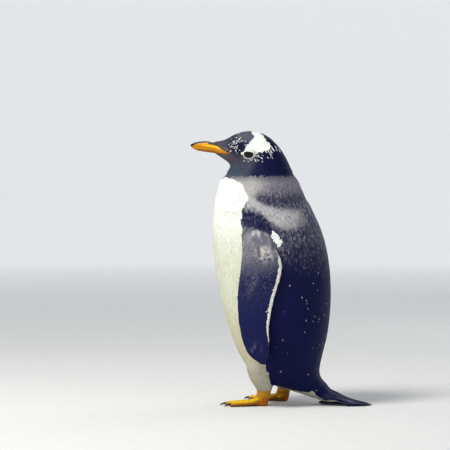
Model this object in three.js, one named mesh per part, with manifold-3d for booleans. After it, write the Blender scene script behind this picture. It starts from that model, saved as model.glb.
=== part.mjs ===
// A standing gentoo penguin, life size, as a still museum model.
// Millimetres, +Z up. The bird faces -Y, its left side is +X, and it stands on z = 0 with its
// origin under the middle of its bounding box. Every solid is the outer surface of the plumage.
import * as THREE from "three";
import { mergeVertices } from "three/addons/utils/BufferGeometryUtils.js";
import Module from "manifold-3d";

const wasm = await Module();
wasm.setup();

// ---- driving dimensions -------------------------------------------------------------------

const GAP = 0.4; // clearance between neighbouring solids
const BODY_SIDES = 32; // facets round the body
const LIMB_SIDES = 16; // facets round a flipper, a leg or the tail
const SHANK_SIDES = 12; // facets round the bare shank
const TOE_SIDES = 8; // facets round a toe
const TRUNK_STEPS = 21; // sections along the trunk

const EYE = { radius: 9.5, depth: 7.8, opening: 8.3, y: -33.3, z: 448.6 };
const STANCE = { x: 45, leftY: -2, rightY: 18, toeOut: 9 }; // hocks of the legs, and the turn of the toes
const SOLE = { toeHeight: 4.3, webTop: 3.8, webBottom: 0.7 };

// Stations of head, neck and trunk, from the bill's base to the rump. Each is a flat section
// between a point on the bird's back and one on its front: [y, z], with its half width, where
// it is widest (0 at the back, 1 at the front) and how square it is (2 is an ellipse).
const STATIONS = [
  { at: "bill base", back: [-100.8, 472.5], front: [-105.3, 450.9], wide: 6.8, widest: 0.5, square: 2 },
  { at: "forehead", back: [-82.8, 475.2], front: [-89.1, 441.9], wide: 14, widest: 0.56, square: 2 },
  { at: "brow", back: [-63, 485.6], front: [-77.9, 434.2], wide: 22, widest: 0.56, square: 2.1 },
  { at: "crown", back: [-36.9, 490.9], front: [-73.4, 428.9], wide: 27, widest: 0.54, square: 2.15 },
  { at: "hind crown", back: [-7.2, 483.3], front: [-72.9, 425.7], wide: 29.5, widest: 0.52, square: 2.1 },
  { at: "nape", back: [18.9, 459], front: [-75.6, 421.7], wide: 33, widest: 0.5, square: 2 },
  { at: "hood edge", back: [37, 427.5], front: [-81.9, 413.1], wide: 40, widest: 0.47, square: 2 },
  { at: "neck", back: [51.8, 396.9], front: [-91.8, 398.7], wide: 53, widest: 0.45, square: 2 },
  { at: "shoulder", back: [74.6, 354.6], front: [-102.2, 366.3], wide: 71, widest: 0.45, square: 2.05 },
  { at: "breast", back: [95.4, 307.8], front: [-105.8, 314.1], wide: 82.5, widest: 0.47, square: 2.1 },
  { at: "upper belly", back: [108.6, 252], front: [-100.8, 252], wide: 88.5, widest: 0.49, square: 2.1 },
  { at: "belly", back: [111.6, 189], front: [-89.1, 189], wide: 91, widest: 0.5, square: 2.1 },
  { at: "lower belly", back: [106.2, 131.4], front: [-71.5, 127.8], wide: 86.5, widest: 0.52, square: 2.15 },
  { at: "flank", back: [95.5, 88.2], front: [-46.8, 75.6], wide: 74, widest: 0.55, square: 2.2 },
  { at: "vent", back: [89.6, 59.4], front: [-7.2, 39.6], wide: 55, widest: 0.58, square: 2.2 },
  { at: "under tail", back: [96, 45], front: [46.8, 21.6], wide: 35, widest: 0.6, square: 2.1 },
  { at: "tail root", back: [108, 35.1], front: [77.4, 11.7], wide: 25, widest: 0.55, square: 2 },
];
const stationOf = (name) => STATIONS.findIndex((s) => s.at === name) / (STATIONS.length - 1);

// Where the body is parted, as shares of the way along the stations.
const NECK_TOP = stationOf("hood edge");
const NECK_BOTTOM = stationOf("shoulder");

// ---- geometry helpers ---------------------------------------------------------------------

const point = (x, y, z) => new THREE.Vector3(x, y, z);
const smoothCurve = (points) => new THREE.CatmullRomCurve3(points, false, "catmullrom", 0.5);
const mix = THREE.MathUtils.lerp;

// The angle's cosine or sine on a superellipse: power 2 is a circle, more is squarer.
const rounded = (value, power) => Math.sign(value) * Math.abs(value) ** (2 / power);

// A closed solid through rings of equal length, with a fan over each end.
function loft(rings) {
  const sides = rings[0].length;
  const middle = (ring) => ring.reduce((sum, p) => sum.add(p), point(0, 0, 0)).divideScalar(sides);
  const corners = [...rings.flat(), middle(rings[0]), middle(rings.at(-1))];
  const first = rings.length * sides;
  const index = [];
  for (let k = 0; k < sides; k++) {
    const next = (k + 1) % sides;
    for (let r = 0; r + 1 < rings.length; r++) {
      const [a, b] = [r * sides + k, r * sides + next];
      index.push(a, b, b + sides, a, b + sides, a + sides);
    }
    const last = (rings.length - 1) * sides;
    index.push(first, next, k, first + 1, last + k, last + next);
  }
  const geometry = new THREE.BufferGeometry().setFromPoints(corners);
  geometry.setIndex(index);
  return geometry;
}

// A three.js geometry as a manifold-3d solid, whichever way round its faces were wound.
function solid(geometry) {
  const bare = new THREE.BufferGeometry();
  bare.setAttribute("position", geometry.getAttribute("position"));
  if (geometry.index) bare.setIndex(geometry.index);
  const merged = mergeVertices(bare, 1e-4);
  const triVerts = new Uint32Array(merged.index.array);
  const mesh = { numProp: 3, vertProperties: merged.attributes.position.array, triVerts };
  const made = new wasm.Manifold(new wasm.Mesh(mesh));
  if (made.volume() > 0) return made;
  for (let i = 0; i < triVerts.length; i += 3) {
    [triVerts[i + 1], triVerts[i + 2]] = [triVerts[i + 2], triVerts[i + 1]];
  }
  return new wasm.Manifold(new wasm.Mesh(mesh));
}

function geometryOf(manifold) {
  const { vertProperties, triVerts } = manifold.getMesh();
  const geometry = new THREE.BufferGeometry();
  geometry.setAttribute("position", new THREE.BufferAttribute(new Float32Array(vertProperties), 3));
  geometry.setIndex(new THREE.BufferAttribute(new Uint32Array(triVerts), 1));
  geometry.computeVertexNormals();
  return geometry;
}

// A round ring about a centre, in the plane of two half axes.
function ringAbout(centre, axisA, axisB, sides, power = 2) {
  return Array.from({ length: sides }, (_, k) => {
    const turn = (2 * Math.PI * k) / sides;
    return centre
      .clone()
      .addScaledVector(axisA, rounded(Math.cos(turn), power))
      .addScaledVector(axisB, rounded(Math.sin(turn), power));
  });
}

// A tapering tube along a curve. radii(t) gives its half width across and its half height.
function taperedTube(curve, radii, steps, sides) {
  const rings = [];
  for (let i = 0; i <= steps; i++) {
    const t = i / steps;
    const along = curve.getTangent(t);
    const across = point(0, 0, 1).cross(along).normalize();
    const [halfWidth, halfHeight] = radii(t);
    const up = along.clone().cross(across).normalize();
    const centre = curve.getPoint(t);
    rings.push(ringAbout(centre, across.multiplyScalar(halfWidth), up.multiplyScalar(halfHeight), sides));
  }
  return loft(rings);
}

function block(x0, x1, y0, y1, z0, z1) {
  const geometry = new THREE.BoxGeometry(x1 - x0, y1 - y0, z1 - z0);
  return solid(geometry.translate((x0 + x1) / 2, (y0 + y1) / 2, (z0 + z1) / 2));
}

const underFloor = block(-400, 400, -400, 400, -100, 0);

// Mirrors a solid made for the left side to the right one.
const mirrored = (manifold) => manifold.mirror([1, 0, 0]);

// ---- body ---------------------------------------------------------------------------------

const backLine = smoothCurve(STATIONS.map((s) => point(0, ...s.back)));
const frontLine = smoothCurve(STATIONS.map((s) => point(0, ...s.front)));
const sections = smoothCurve(STATIONS.map((s) => point(s.wide, s.widest, s.square)));

// One section of the body at share t, grown outwards by grow.
function bodyRing(t, grow = 0) {
  const back = backLine.getPoint(t);
  const front = frontLine.getPoint(t);
  const { x: wide, y: widest, z: square } = sections.getPoint(t);
  const centre = back.clone().lerp(front, widest);
  const toBack = back.clone().sub(centre);
  const toFront = front.clone().sub(centre);
  toBack.setLength(toBack.length() + grow);
  toFront.setLength(toFront.length() + grow);
  return Array.from({ length: BODY_SIDES }, (_, k) => {
    const turn = (2 * Math.PI * k) / BODY_SIDES;
    const depth = rounded(Math.cos(turn), square);
    return centre
      .clone()
      .addScaledVector(depth > 0 ? toBack : toFront, Math.abs(depth))
      .add(point((wide + grow) * rounded(Math.sin(turn), square), 0, 0));
  });
}

// The body from share t0 to t1. lead moves its first section along, to leave a thin cut.
function bodyLength(t0, t1, steps, { lead = 0, grow = 0 } = {}) {
  const rings = [];
  for (let i = 0; i <= steps; i++) rings.push(bodyRing(mix(t0, t1, i / steps), grow));
  const chord = frontLine.getPoint(t0).sub(backLine.getPoint(t0));
  const onward = point(1, 0, 0).cross(chord).normalize().multiplyScalar(lead);
  rings[0].forEach((p) => p.add(onward));
  return solid(loft(rings));
}

const trunk = (options) => bodyLength(NECK_BOTTOM, 1, TRUNK_STEPS, options);

// ---- bill ---------------------------------------------------------------------------------

// Both halves of the bill run from inside the face to the tip, and meet on the mouth line.
const MOUTH = [
  point(0, -72, 451),
  point(0, -98, 458.7),
  point(0, -121, 462.2),
  point(0, -137, 463.2),
  point(0, -145.6, 463),
];
const CULMEN = [
  point(0, -72, 467),
  point(0, -98, 470.9),
  point(0, -121, 472.3),
  point(0, -138, 470.2),
  point(0, -147.2, 465.8),
];
const GONYS = [
  point(0, -72, 444.6),
  point(0, -98, 449.8),
  point(0, -121, 453),
  point(0, -136, 455.9),
  point(0, -144.2, 460.8),
];
const BILL_WIDTH = [13.5, 8.6, 6, 4.2, 1.9].map((width) => point(width, 0, 0));

function billHalf(ridgePoints, side, grow = 0) {
  const [mouth, ridge, width] = [MOUTH, ridgePoints, BILL_WIDTH].map(smoothCurve);
  const steps = 10;
  const halfSides = 7;
  const rings = [];
  for (let i = 0; i <= steps; i++) {
    const t = i / steps;
    const edge = mouth.getPoint(t).add(point(0, 0, side * (GAP / 2 - grow)));
    const rise = ridge.getPoint(t).add(point(0, 0, side * grow)).sub(edge);
    const halfWidth = width.getPoint(t).x + grow;
    rings.push(
      Array.from({ length: halfSides + 1 }, (_, k) => {
        const turn = (Math.PI * k) / halfSides;
        return edge
          .clone()
          .addScaledVector(rise, rounded(Math.sin(turn), 2.2))
          .add(point(halfWidth * rounded(Math.cos(turn), 2.2), 0, 0));
      }),
    );
  }
  return solid(loft(rings));
}

const billUpper = (grow) => billHalf(CULMEN, 1, grow);
const billLower = (grow) => billHalf(GONYS, -1, grow);

// ---- eyes ---------------------------------------------------------------------------------

const SIDEWAYS = new THREE.Matrix4().makeRotationZ(-Math.PI / 2); // turns +Y to +X

// The head's half width at the eye, found on the finished head.
function eyeCentre(head) {
  const probe = block(0, 72, EYE.y - 1, EYE.y + 1, EYE.z - 1, EYE.z + 1);
  return point(head.intersect(probe).boundingBox().max[0] - EYE.depth, EYE.y, EYE.z);
}

const eyeball = (centre, radius) =>
  solid(new THREE.SphereGeometry(radius, 14, 10).translate(centre.x, centre.y, centre.z));

// The socket is the ball's own room and a mouth that opens outwards.
function socket(centre) {
  const mouth = new THREE.CylinderGeometry(EYE.opening + 1, 3, 2 * EYE.depth, 14);
  mouth.applyMatrix4(SIDEWAYS).translate(centre.x + EYE.depth, centre.y, centre.z);
  return eyeball(centre, EYE.radius + GAP).add(solid(mouth));
}

// ---- flippers -----------------------------------------------------------------------------

// The left flipper's leading and trailing edges from the shoulder to the tip, its thickness,
// and how far it bows outwards over the body.
const LEADING = smoothCurve([
  point(58, -22, 345),
  point(83, -31, 303),
  point(87, -37, 250),
  point(91, -42.5, 195),
  point(94, -38, 143),
  point(95.5, -24.5, 99),
  point(95.5, 2, 77),
]);
const TRAILING = smoothCurve([
  point(58, 12, 338),
  point(84.5, 22, 293),
  point(89, 40.5, 252),
  point(93, 26.5, 194),
  point(95.5, 18, 145),
  point(96, 19, 101),
  point(95.5, 13, 78),
]);
const BLADE = smoothCurve([
  point(23.4, 0, 0),
  point(18, 3.6, 0),
  point(10.8, 4.5, 0),
  point(8.6, 3.6, 0),
  point(7.2, 2.7, 0),
  point(5.4, 1.8, 0),
  point(3.1, 0, 0),
]);

function flipper() {
  const steps = 18;
  const rings = [];
  for (let i = 0; i <= steps; i++) {
    const t = i / steps;
    const leading = LEADING.getPoint(t);
    const trailing = TRAILING.getPoint(t);
    const { x: thickness, y: bow } = BLADE.getPoint(t);
    const chord = trailing.clone().sub(leading);
    const outward = point(0, 0, -1).cross(chord).normalize();
    const centre = leading.clone().lerp(trailing, 0.5);
    const depth = outward.clone().multiplyScalar(thickness / 2);
    const ring = ringAbout(centre, chord.clone().multiplyScalar(0.5), depth, LIMB_SIDES);
    const halfChord = chord.length() / 2;
    for (const p of ring) {
      const share = p.clone().sub(centre).dot(chord.clone().normalize()) / halfChord;
      p.addScaledVector(outward, bow * (1 - share ** 2));
    }
    rings.push(ring);
  }
  return solid(loft(rings));
}

// ---- legs and feet ------------------------------------------------------------------------

// The feathered leg hangs from the belly to just above the ankle.
function leg(hockY) {
  const heights = [99, 82.8, 67.5, 53.1, 42.3, 35.1, 30.6];
  const widths = [18, 24.3, 26.1, 24.3, 20.7, 17.1, 14];
  const depths = [19.8, 26.1, 27.4, 24.3, 20.7, 17.6, 15.3];
  const shifts = [-4.5, -5.9, -6.3, -5, -2.7, -0.9, 0]; // the thigh leans forward
  const inward = [-9, -7.2, -4.5, -2.7, -0.9, 0, 0];
  const centres = smoothCurve(heights.map((z, i) => point(STANCE.x + inward[i], hockY + shifts[i], z)));
  const sizes = smoothCurve(heights.map((_, i) => point(widths[i], depths[i], 0)));
  const steps = 10;
  const rings = [];
  for (let i = 0; i <= steps; i++) {
    const size = sizes.getPoint(i / steps);
    rings.push(
      ringAbout(centres.getPoint(i / steps), point(size.x, 0, 0), point(0, size.y, 0), LIMB_SIDES),
    );
  }
  return solid(loft(rings));
}

// Toes of a left foot whose hock is at the origin: each has its tip, its half width at the
// root and at the tip, and the way its claw points.
const TOES = {
  inner: { root: [-2.7, -7.2], bend: [-11.7, -34.2], tip: [-18, -55.8], radius: [5.9, 4.3] },
  middle: { root: [0, -9], bend: [0.9, -41.4], tip: [0.9, -70.2], radius: [6.5, 4.7] },
  outer: { root: [3.6, -7.2], bend: [15.3, -36], tip: [22.5, -61.2], radius: [6.1, 4.3] },
};
const HIND_TOE = { root: [-7.2, 1.8], tip: [-15.3, -8.1], radius: [3.2, 2.3], z: 6.3 };
const CLAW = { length: 13.5, radius: 3, sink: 4.5, hindScale: 0.55 };

function toeCurve({ root, bend, tip }) {
  const [h, arch] = [SOLE.toeHeight, 2.2];
  return smoothCurve([
    point(root[0], root[1], h + arch + 2.2),
    point(mix(root[0], bend[0], 0.5), mix(root[1], bend[1], 0.5), h + arch),
    point(bend[0], bend[1], h + 0.5),
    point(mix(bend[0], tip[0], 0.6), mix(bend[1], tip[1], 0.6), h),
    point(tip[0], tip[1], h - 0.8),
  ]);
}

// The toe swells a little at each joint, and rounds off at its end.
function toe(spec) {
  const [atRoot, atTip] = spec.radius;
  const steps = 7;
  return solid(
    taperedTube(
      toeCurve(spec),
      (t) => {
        const joint = 1 + 0.06 * Math.cos(t * 2 * 2 * Math.PI);
        const end = t > 0.9 ? Math.sqrt(1 - ((t - 0.9) / 0.125) ** 2) : 1;
        const r = mix(atRoot, atTip, t) * joint * end;
        return [r, r];
      },
      steps,
      TOE_SIDES,
    ),
  );
}

// The web fills both gaps between the toes, and its front edge is drawn in.
function web() {
  const { inner, middle, outer } = TOES;
  const at = ([x, y], share = 1) => [x * share, y * share];
  const outline = new THREE.Shape();
  outline.moveTo(-4.5, -3.6);
  outline.lineTo(...at(inner.tip, 0.97));
  outline.quadraticCurveTo(-8.1, -52, ...at(middle.tip, 0.96));
  outline.quadraticCurveTo(10.8, -54, ...at(outer.tip, 0.97));
  outline.lineTo(5.4, -3.6);
  outline.closePath();
  const depth = SOLE.webTop - SOLE.webBottom;
  const plate = new THREE.ExtrudeGeometry(outline, { depth, bevelEnabled: false, curveSegments: 4 });
  return solid(plate.translate(0, 0, SOLE.webBottom));
}

// The short tarsus stands on its heel pad and goes up to the leg's feathers.
function tarsus() {
  const centres = smoothCurve([
    point(0, -8.1, -0.9),
    point(0, -6.3, 7.2),
    point(0, -2.7, 15.3),
    point(0, -0.5, 23.4),
    point(0, 0, 30.1),
  ]);
  const sizes = smoothCurve([
    point(8.6, 14, 0),
    point(9.5, 14.8, 0),
    point(9.5, 13.1, 0),
    point(9.7, 12.6, 0),
    point(10.3, 12.8, 0),
  ]);
  const steps = 6;
  const rings = [];
  for (let i = 0; i <= steps; i++) {
    const size = sizes.getPoint(i / steps);
    rings.push(ringAbout(centres.getPoint(i / steps), point(size.x, 0, 0), point(0, size.y, 0), SHANK_SIDES));
  }
  return solid(loft(rings));
}

function hindToe() {
  const { root, tip, radius, z } = HIND_TOE;
  const line = smoothCurve([point(...root, z + 3), point(...tip, z)]);
  return solid(taperedTube(line, (t) => [mix(...radius, t), mix(...radius, t)], 3, 6));
}

// A claw that starts inside the toe's end and curves down to the floor.
function claw(toeTip, from, scale, z, grow = 0) {
  const way = point(toeTip[0] - from[0], toeTip[1] - from[1], 0).normalize();
  const start = point(toeTip[0], toeTip[1], z).addScaledVector(way, -CLAW.sink * scale);
  const reach = CLAW.length * scale;
  const line = smoothCurve([
    start,
    start.clone().addScaledVector(way, reach * 0.5).add(point(0, 0, 0.5 * scale)),
    start.clone().addScaledVector(way, reach).setZ(Math.max(1.1, z - 3.8)),
  ]);
  const size = (t) => CLAW.radius * scale * Math.sqrt(1.02 - t) + grow;
  return solid(taperedTube(line, (t) => [size(t) * 0.85, size(t)], 3, 6));
}

// Every claw of a foot by name, at the foot's own origin.
function claws(grow) {
  const made = {};
  for (const [name, { bend, tip }] of Object.entries(TOES)) {
    made[name] = claw(tip, bend, 1, SOLE.toeHeight - 0.4, grow);
  }
  made.hind = claw(HIND_TOE.tip, HIND_TOE.root, CLAW.hindScale, HIND_TOE.z - 0.5, grow);
  return made;
}

function foot() {
  let made = tarsus().add(web()).add(hindToe());
  for (const spec of Object.values(TOES)) made = made.add(toe(spec));
  for (const cutter of Object.values(claws(GAP))) made = made.subtract(cutter);
  return made.subtract(underFloor);
}

// ---- tail ---------------------------------------------------------------------------------

// The stiff tail leaves the rump, spreads a little, and is laid with its tip on the floor.
function tail() {
  const back = smoothCurve([
    point(0, 108, 35.1),
    point(0, 128.7, 22.1),
    point(0, 149.4, 12.2),
    point(0, 170.3, 6.3),
    point(0, 187.7, 2.3),
  ]);
  const front = smoothCurve([
    point(0, 77.4, 11.7),
    point(0, 108.9, 4.5),
    point(0, 137.7, 0.9),
    point(0, 165.8, -0.9),
    point(0, 186.8, -1.1),
  ]);
  const widths = smoothCurve([25, 29.5, 29.5, 24, 6.5].map((w) => point(w, 0, 0)));
  const steps = 10;
  const rings = [];
  for (let i = 0; i <= steps; i++) {
    const t = i / steps;
    const [upper, lower] = [back.getPoint(t), front.getPoint(t)];
    const centre = upper.clone().lerp(lower, 0.55);
    const across = point(widths.getPoint(t).x, 0, 0);
    rings.push(ringAbout(centre, upper.sub(lower).multiplyScalar(0.5), across, LIMB_SIDES, 2.2));
  }
  const onward = point(0, 23, -30).setLength(GAP);
  rings[0].forEach((p) => p.add(onward));
  return solid(loft(rings)).subtract(underFloor);
}

// ---- the whole bird -----------------------------------------------------------------------

const FINISH = {
  hood: { color: 0x20222c, roughness: 0.75 },
  slate: { color: 0x262a3a, roughness: 0.7 },
  white: { color: 0xe9e8dc, roughness: 0.7 },
  flipper: { color: 0x1b1f30, roughness: 0.55 },
  orange: { color: 0xf08a0c, roughness: 0.4 },
  foot: { color: 0xf0a818, roughness: 0.5 },
  claw: { color: 0x2a221e, roughness: 0.4 },
  eye: { color: 0x120c0a, roughness: 0.08 },
};

function assemble() {
  const bird = new THREE.Group();
  const place = (name, manifold, finish) => {
    const material = new THREE.MeshStandardMaterial({ ...FINISH[finish], metalness: 0 });
    const mesh = new THREE.Mesh(geometryOf(manifold), material);
    mesh.name = name;
    bird.add(mesh);
    return mesh;
  };

  const bareHead = bodyLength(0, NECK_TOP, 14);
  const leftEye = eyeCentre(bareHead);
  const head = bareHead
    .subtract(billUpper(GAP))
    .subtract(billLower(GAP))
    .subtract(socket(leftEye))
    .subtract(mirrored(socket(leftEye)));
  place("head", head, "hood");
  place("bill_upper", billUpper(), "orange");
  place("bill_lower", billLower(), "orange");
  place("eye_left", eyeball(leftEye, EYE.radius), "eye");
  place("eye_right", mirrored(eyeball(leftEye, EYE.radius)), "eye");

  place("neck", bodyLength(NECK_TOP, NECK_BOTTOM, 5, { lead: GAP }), "slate");
  place("trunk", trunk({ lead: GAP }), "white");
  place("tail", tail(), "slate");

  const besideTrunk = trunk({ grow: GAP });
  const leftFlipper = flipper().subtract(besideTrunk);
  place("flipper_left", leftFlipper, "flipper");
  place("flipper_right", mirrored(leftFlipper), "flipper");

  for (const side of ["left", "right"]) {
    const hockY = side === "left" ? STANCE.leftY : STANCE.rightY;
    const sided = (manifold) => (side === "left" ? manifold : mirrored(manifold));
    place(`leg_${side}`, sided(leg(hockY).subtract(besideTrunk)), "white");
    const stance = (manifold) =>
      sided(manifold.rotate([0, 0, STANCE.toeOut]).translate([STANCE.x, hockY, 0]));
    place(`foot_${side}`, stance(foot()), "foot");
    for (const [name, one] of Object.entries(claws(0))) {
      place(`claw_${side}_${name}`, stance(one), "claw");
    }
  }
  return bird;
}

// Moves the bird so that its origin is under the middle of its bounding box.
function centred(bird) {
  const box = new THREE.Box3().setFromObject(bird);
  const middle = box.getCenter(point(0, 0, 0));
  bird.position.set(-middle.x, -middle.y, -box.min.z);
  const part = new THREE.Group();
  part.add(bird);
  return part;
}

export default centred(assemble());
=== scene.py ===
"""A standing gentoo penguin as a museum shows it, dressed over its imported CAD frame.

Metres, +Z up. The bird faces -Y and its left side is +X. One skin stands for the solids of flesh
and lies inside them by the plumage's depth. Feathers are closed vanes that lie along the body and
end on the solids' outline.
"""
import math

import bpy
import numpy as np
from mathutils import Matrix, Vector
from mathutils.bvhtree import BVHTree
from mathutils.kdtree import KDTree


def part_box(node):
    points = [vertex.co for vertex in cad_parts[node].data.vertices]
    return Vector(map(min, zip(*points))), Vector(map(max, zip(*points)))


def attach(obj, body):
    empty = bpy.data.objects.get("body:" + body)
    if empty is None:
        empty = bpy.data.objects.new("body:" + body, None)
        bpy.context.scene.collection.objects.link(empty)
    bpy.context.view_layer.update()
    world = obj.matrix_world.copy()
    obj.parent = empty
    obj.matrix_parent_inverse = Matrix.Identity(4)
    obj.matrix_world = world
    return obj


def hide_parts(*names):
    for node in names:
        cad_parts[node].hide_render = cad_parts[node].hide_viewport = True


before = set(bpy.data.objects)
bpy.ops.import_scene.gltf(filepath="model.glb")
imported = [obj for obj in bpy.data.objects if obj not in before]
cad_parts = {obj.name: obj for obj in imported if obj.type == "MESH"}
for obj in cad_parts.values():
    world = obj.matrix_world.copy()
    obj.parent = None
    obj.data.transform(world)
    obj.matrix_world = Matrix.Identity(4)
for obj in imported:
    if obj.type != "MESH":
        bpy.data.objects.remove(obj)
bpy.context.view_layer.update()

MM = 0.001

# ---- arrays and meshes ---------------------------------------------------------------------


def unit(vectors):
    """Each row of an array at length 1."""
    return vectors / np.maximum(np.linalg.norm(vectors, axis=-1, keepdims=True), 1e-12)


def dot(a, b):
    return np.sum(a * b, axis=-1, keepdims=True)


def smoothstep(low, high, value):
    """0 below low, 1 above high, and a smooth rise between them."""
    t = np.clip((value - low) / (high - low), 0, 1)
    return t * t * (3 - 2 * t)


def arrays_of(mesh):
    """A mesh's points and triangles."""
    mesh.calc_loop_triangles()
    points = np.empty(len(mesh.vertices) * 3)
    mesh.vertices.foreach_get("co", points)
    triangles = np.empty(len(mesh.loop_triangles) * 3, np.int64)
    mesh.loop_triangles.foreach_get("vertices", triangles)
    return points.reshape(-1, 3), triangles.reshape(-1, 3)


def welded(points, triangles):
    """The same faces, with points that share a place joined into one."""
    _, first, same = np.unique(
        np.round(points / 1e-7).astype(np.int64), axis=0, return_index=True, return_inverse=True
    )
    return points[first], same.reshape(-1)[triangles]


def joined(shapes):
    """Several (points, triangles) as one."""
    points, triangles, start = [], [], 0
    for p, t in shapes:
        points.append(p)
        triangles.append(t + start)
        start += len(p)
    return np.concatenate(points), np.concatenate(triangles)


def normals_of(points, triangles):
    """Each point's normal, from the faces round it."""
    a, b, c = (points[triangles[:, k]] for k in range(3))
    face = np.cross(b - a, c - a)
    total = np.zeros_like(points)
    for k in range(3):
        for axis in range(3):
            total[:, axis] += np.bincount(triangles[:, k], face[:, axis], len(points))
    return unit(total)


def edges_of(triangles):
    pairs = np.sort(triangles[:, [0, 1, 1, 2, 2, 0]].reshape(-1, 2), axis=1)
    return np.unique(pairs, axis=0)


def relax(values, edges, strength, rounds, back=-0.53):
    """Draws each point's values towards its neighbours' mean. With back, each step is partly
    undone by an opposite one, so that a shape is smoothed and doesn't shrink."""
    values = values.copy()
    a, b = edges.T
    count = np.maximum(np.bincount(np.concatenate([a, b]), minlength=len(values)), 1)
    steps = (0.5, back) if back else (0.5,)
    for _ in range(rounds):
        for step in steps:
            for axis in range(values.shape[1]):
                column = values[:, axis]
                near = np.bincount(a, column[b], len(values)) + np.bincount(b, column[a], len(values))
                values[:, axis] += step * strength * (near / count - column)
    return values


def new_mesh(name, points, triangles):
    mesh = bpy.data.meshes.new(name)
    mesh.vertices.add(len(points))
    mesh.vertices.foreach_set("co", np.ascontiguousarray(points, np.float32).ravel())
    mesh.loops.add(triangles.size)
    mesh.loops.foreach_set("vertex_index", np.ascontiguousarray(triangles, np.int32).ravel())
    mesh.polygons.add(len(triangles))
    mesh.polygons.foreach_set("loop_start", np.arange(0, triangles.size, 3, dtype=np.int32))
    mesh.update(calc_edges=True)
    mesh.validate()
    return mesh


def tinted(mesh, colours):
    """Gives each point its colour, which the materials read."""
    layer = mesh.attributes.new("tint", "FLOAT_COLOR", "POINT")
    values = np.ones((len(mesh.vertices), 4), np.float32)
    values[:, :3] = colours
    layer.data.foreach_set("color", values.ravel())


def new_object(name, mesh):
    thing = bpy.data.objects.new(name, mesh)
    bpy.context.scene.collection.objects.link(thing)
    return thing


def through_modifier(points, triangles, kind, weights=None, **settings):
    """The shape after one modifier. weights go into a vertex group that the modifier reads."""
    thing = new_object("work", new_mesh("work", points, triangles))
    modifier = thing.modifiers.new("work", kind)
    if weights is not None:
        group = thing.vertex_groups.new(name="work")
        for level in np.unique(weights):
            group.add(np.flatnonzero(weights == level).tolist(), float(level), "REPLACE")
        modifier.vertex_group = "work"
    for setting, value in settings.items():
        setattr(modifier, setting, value)
    shaped = thing.evaluated_get(bpy.context.evaluated_depsgraph_get())
    result = arrays_of(shaped.to_mesh())
    shaped.to_mesh_clear()
    bpy.data.meshes.remove(thing.data)
    return result


def tree_of(places):
    """Tells which places are near a given one."""
    tree = KDTree(len(places))
    for k, place in enumerate(places):
        tree.insert(place, k)
    tree.balance()
    return tree


def copies_of(faces, count, each):
    """The triangles of count copies of one template that has each points."""
    return (faces[None] + (np.arange(count) * each)[:, None, None]).reshape(-1, 3)


class Nearest:
    """Finds the nearest point of a surface, its smooth normal and its face."""

    def __init__(self, points, triangles):
        self.points, self.triangles = points, triangles
        self.normals = normals_of(points, triangles)
        self.tree = BVHTree.FromPolygons(points.tolist(), triangles.tolist())

    def __call__(self, places):
        found = [self.tree.find_nearest(Vector(p)) for p in places]
        spots = np.array([f[0] for f in found])
        faces = np.array([f[2] for f in found])
        return spots, self.smooth_normals(spots, faces), faces

    def smooth_normals(self, spots, faces):
        corners = self.points[self.triangles[faces]]
        edge1, edge2 = corners[:, 1] - corners[:, 0], corners[:, 2] - corners[:, 0]
        inside = spots - corners[:, 0]
        d11, d12, d22 = dot(edge1, edge1), dot(edge1, edge2), dot(edge2, edge2)
        d1, d2 = dot(inside, edge1), dot(inside, edge2)
        area = np.maximum(d11 * d22 - d12 * d12, 1e-24)
        v, w = (d22 * d1 - d12 * d2) / area, (d11 * d2 - d12 * d1) / area
        shares = np.stack([1 - v - w, v, w], axis=1)
        return unit((self.normals[self.triangles[faces]] * shares).sum(axis=1))

    def hit(self, start, way, otherwise=None):
        """Where a ray first meets the surface."""
        spot = self.tree.ray_cast(Vector(start), Vector(way))[0]
        return otherwise if spot is None else np.array(spot)


def noise(places, size, seed=0):
    """Smooth noise from 0 to 1, with lumps about size across. size may differ by axis."""
    p = np.asarray(places) / size + 31.7 * seed + 1000
    cell = np.floor(p).astype(np.int64)
    f = p - cell
    f = f * f * (3 - 2 * f)
    total = np.zeros(len(p))
    for corner in np.ndindex(2, 2, 2):
        x, y, z = (cell + corner).T
        h = (x * 73856093) ^ (y * 19349663) ^ (z * 83492791) ^ (seed * 2971215073)
        h = ((h ^ (h >> 13)) * 1274126177) & 0xFFFFFFFF
        value = ((h ^ (h >> 15)) & 0xFFFF) / 65535
        total += value * np.prod(np.where(corner, f, 1 - f), axis=1)
    return total


def catmull_rom(knots, shares):
    """Points of a smooth curve through evenly spaced knots."""
    knots = np.asarray(knots, float)
    padded = np.concatenate([[2 * knots[0] - knots[1]], knots, [2 * knots[-1] - knots[-2]]])
    t = np.clip(np.asarray(shares, float), 0, 1) * (len(knots) - 1)
    k = np.minimum(t.astype(int), len(knots) - 2)
    f = (t - k)[:, None]
    a, b, c, d = (padded[k + i] for i in range(4))
    return 0.5 * (2 * b + (c - a) * f + (2 * a - 5 * b + 4 * c - d) * f**2 + (3 * b - a - 3 * c + d) * f**3)


class Line:
    """A smooth line inside a part of the body, which tells any place how far along it lies."""

    def __init__(self, knots, count=140):
        self.points = catmull_rom(knots, np.linspace(0, 1, count))
        self.tangents = unit(np.gradient(self.points, axis=0))
        steps = np.linalg.norm(np.diff(self.points, axis=0), axis=1)
        self.length = steps.sum()
        self.shares = np.concatenate([[0], np.cumsum(steps)]) / self.length

    def near(self, places):
        """Each place's share along the line, the line's direction there and its point there."""
        gap = np.linalg.norm(places[:, None] - self.points[None], axis=2)
        weight = (gap.min(axis=1, keepdims=True) / gap) ** 10
        weight /= weight.sum(axis=1, keepdims=True)
        return weight @ self.shares, unit(weight @ self.tangents), weight @ self.points


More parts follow.
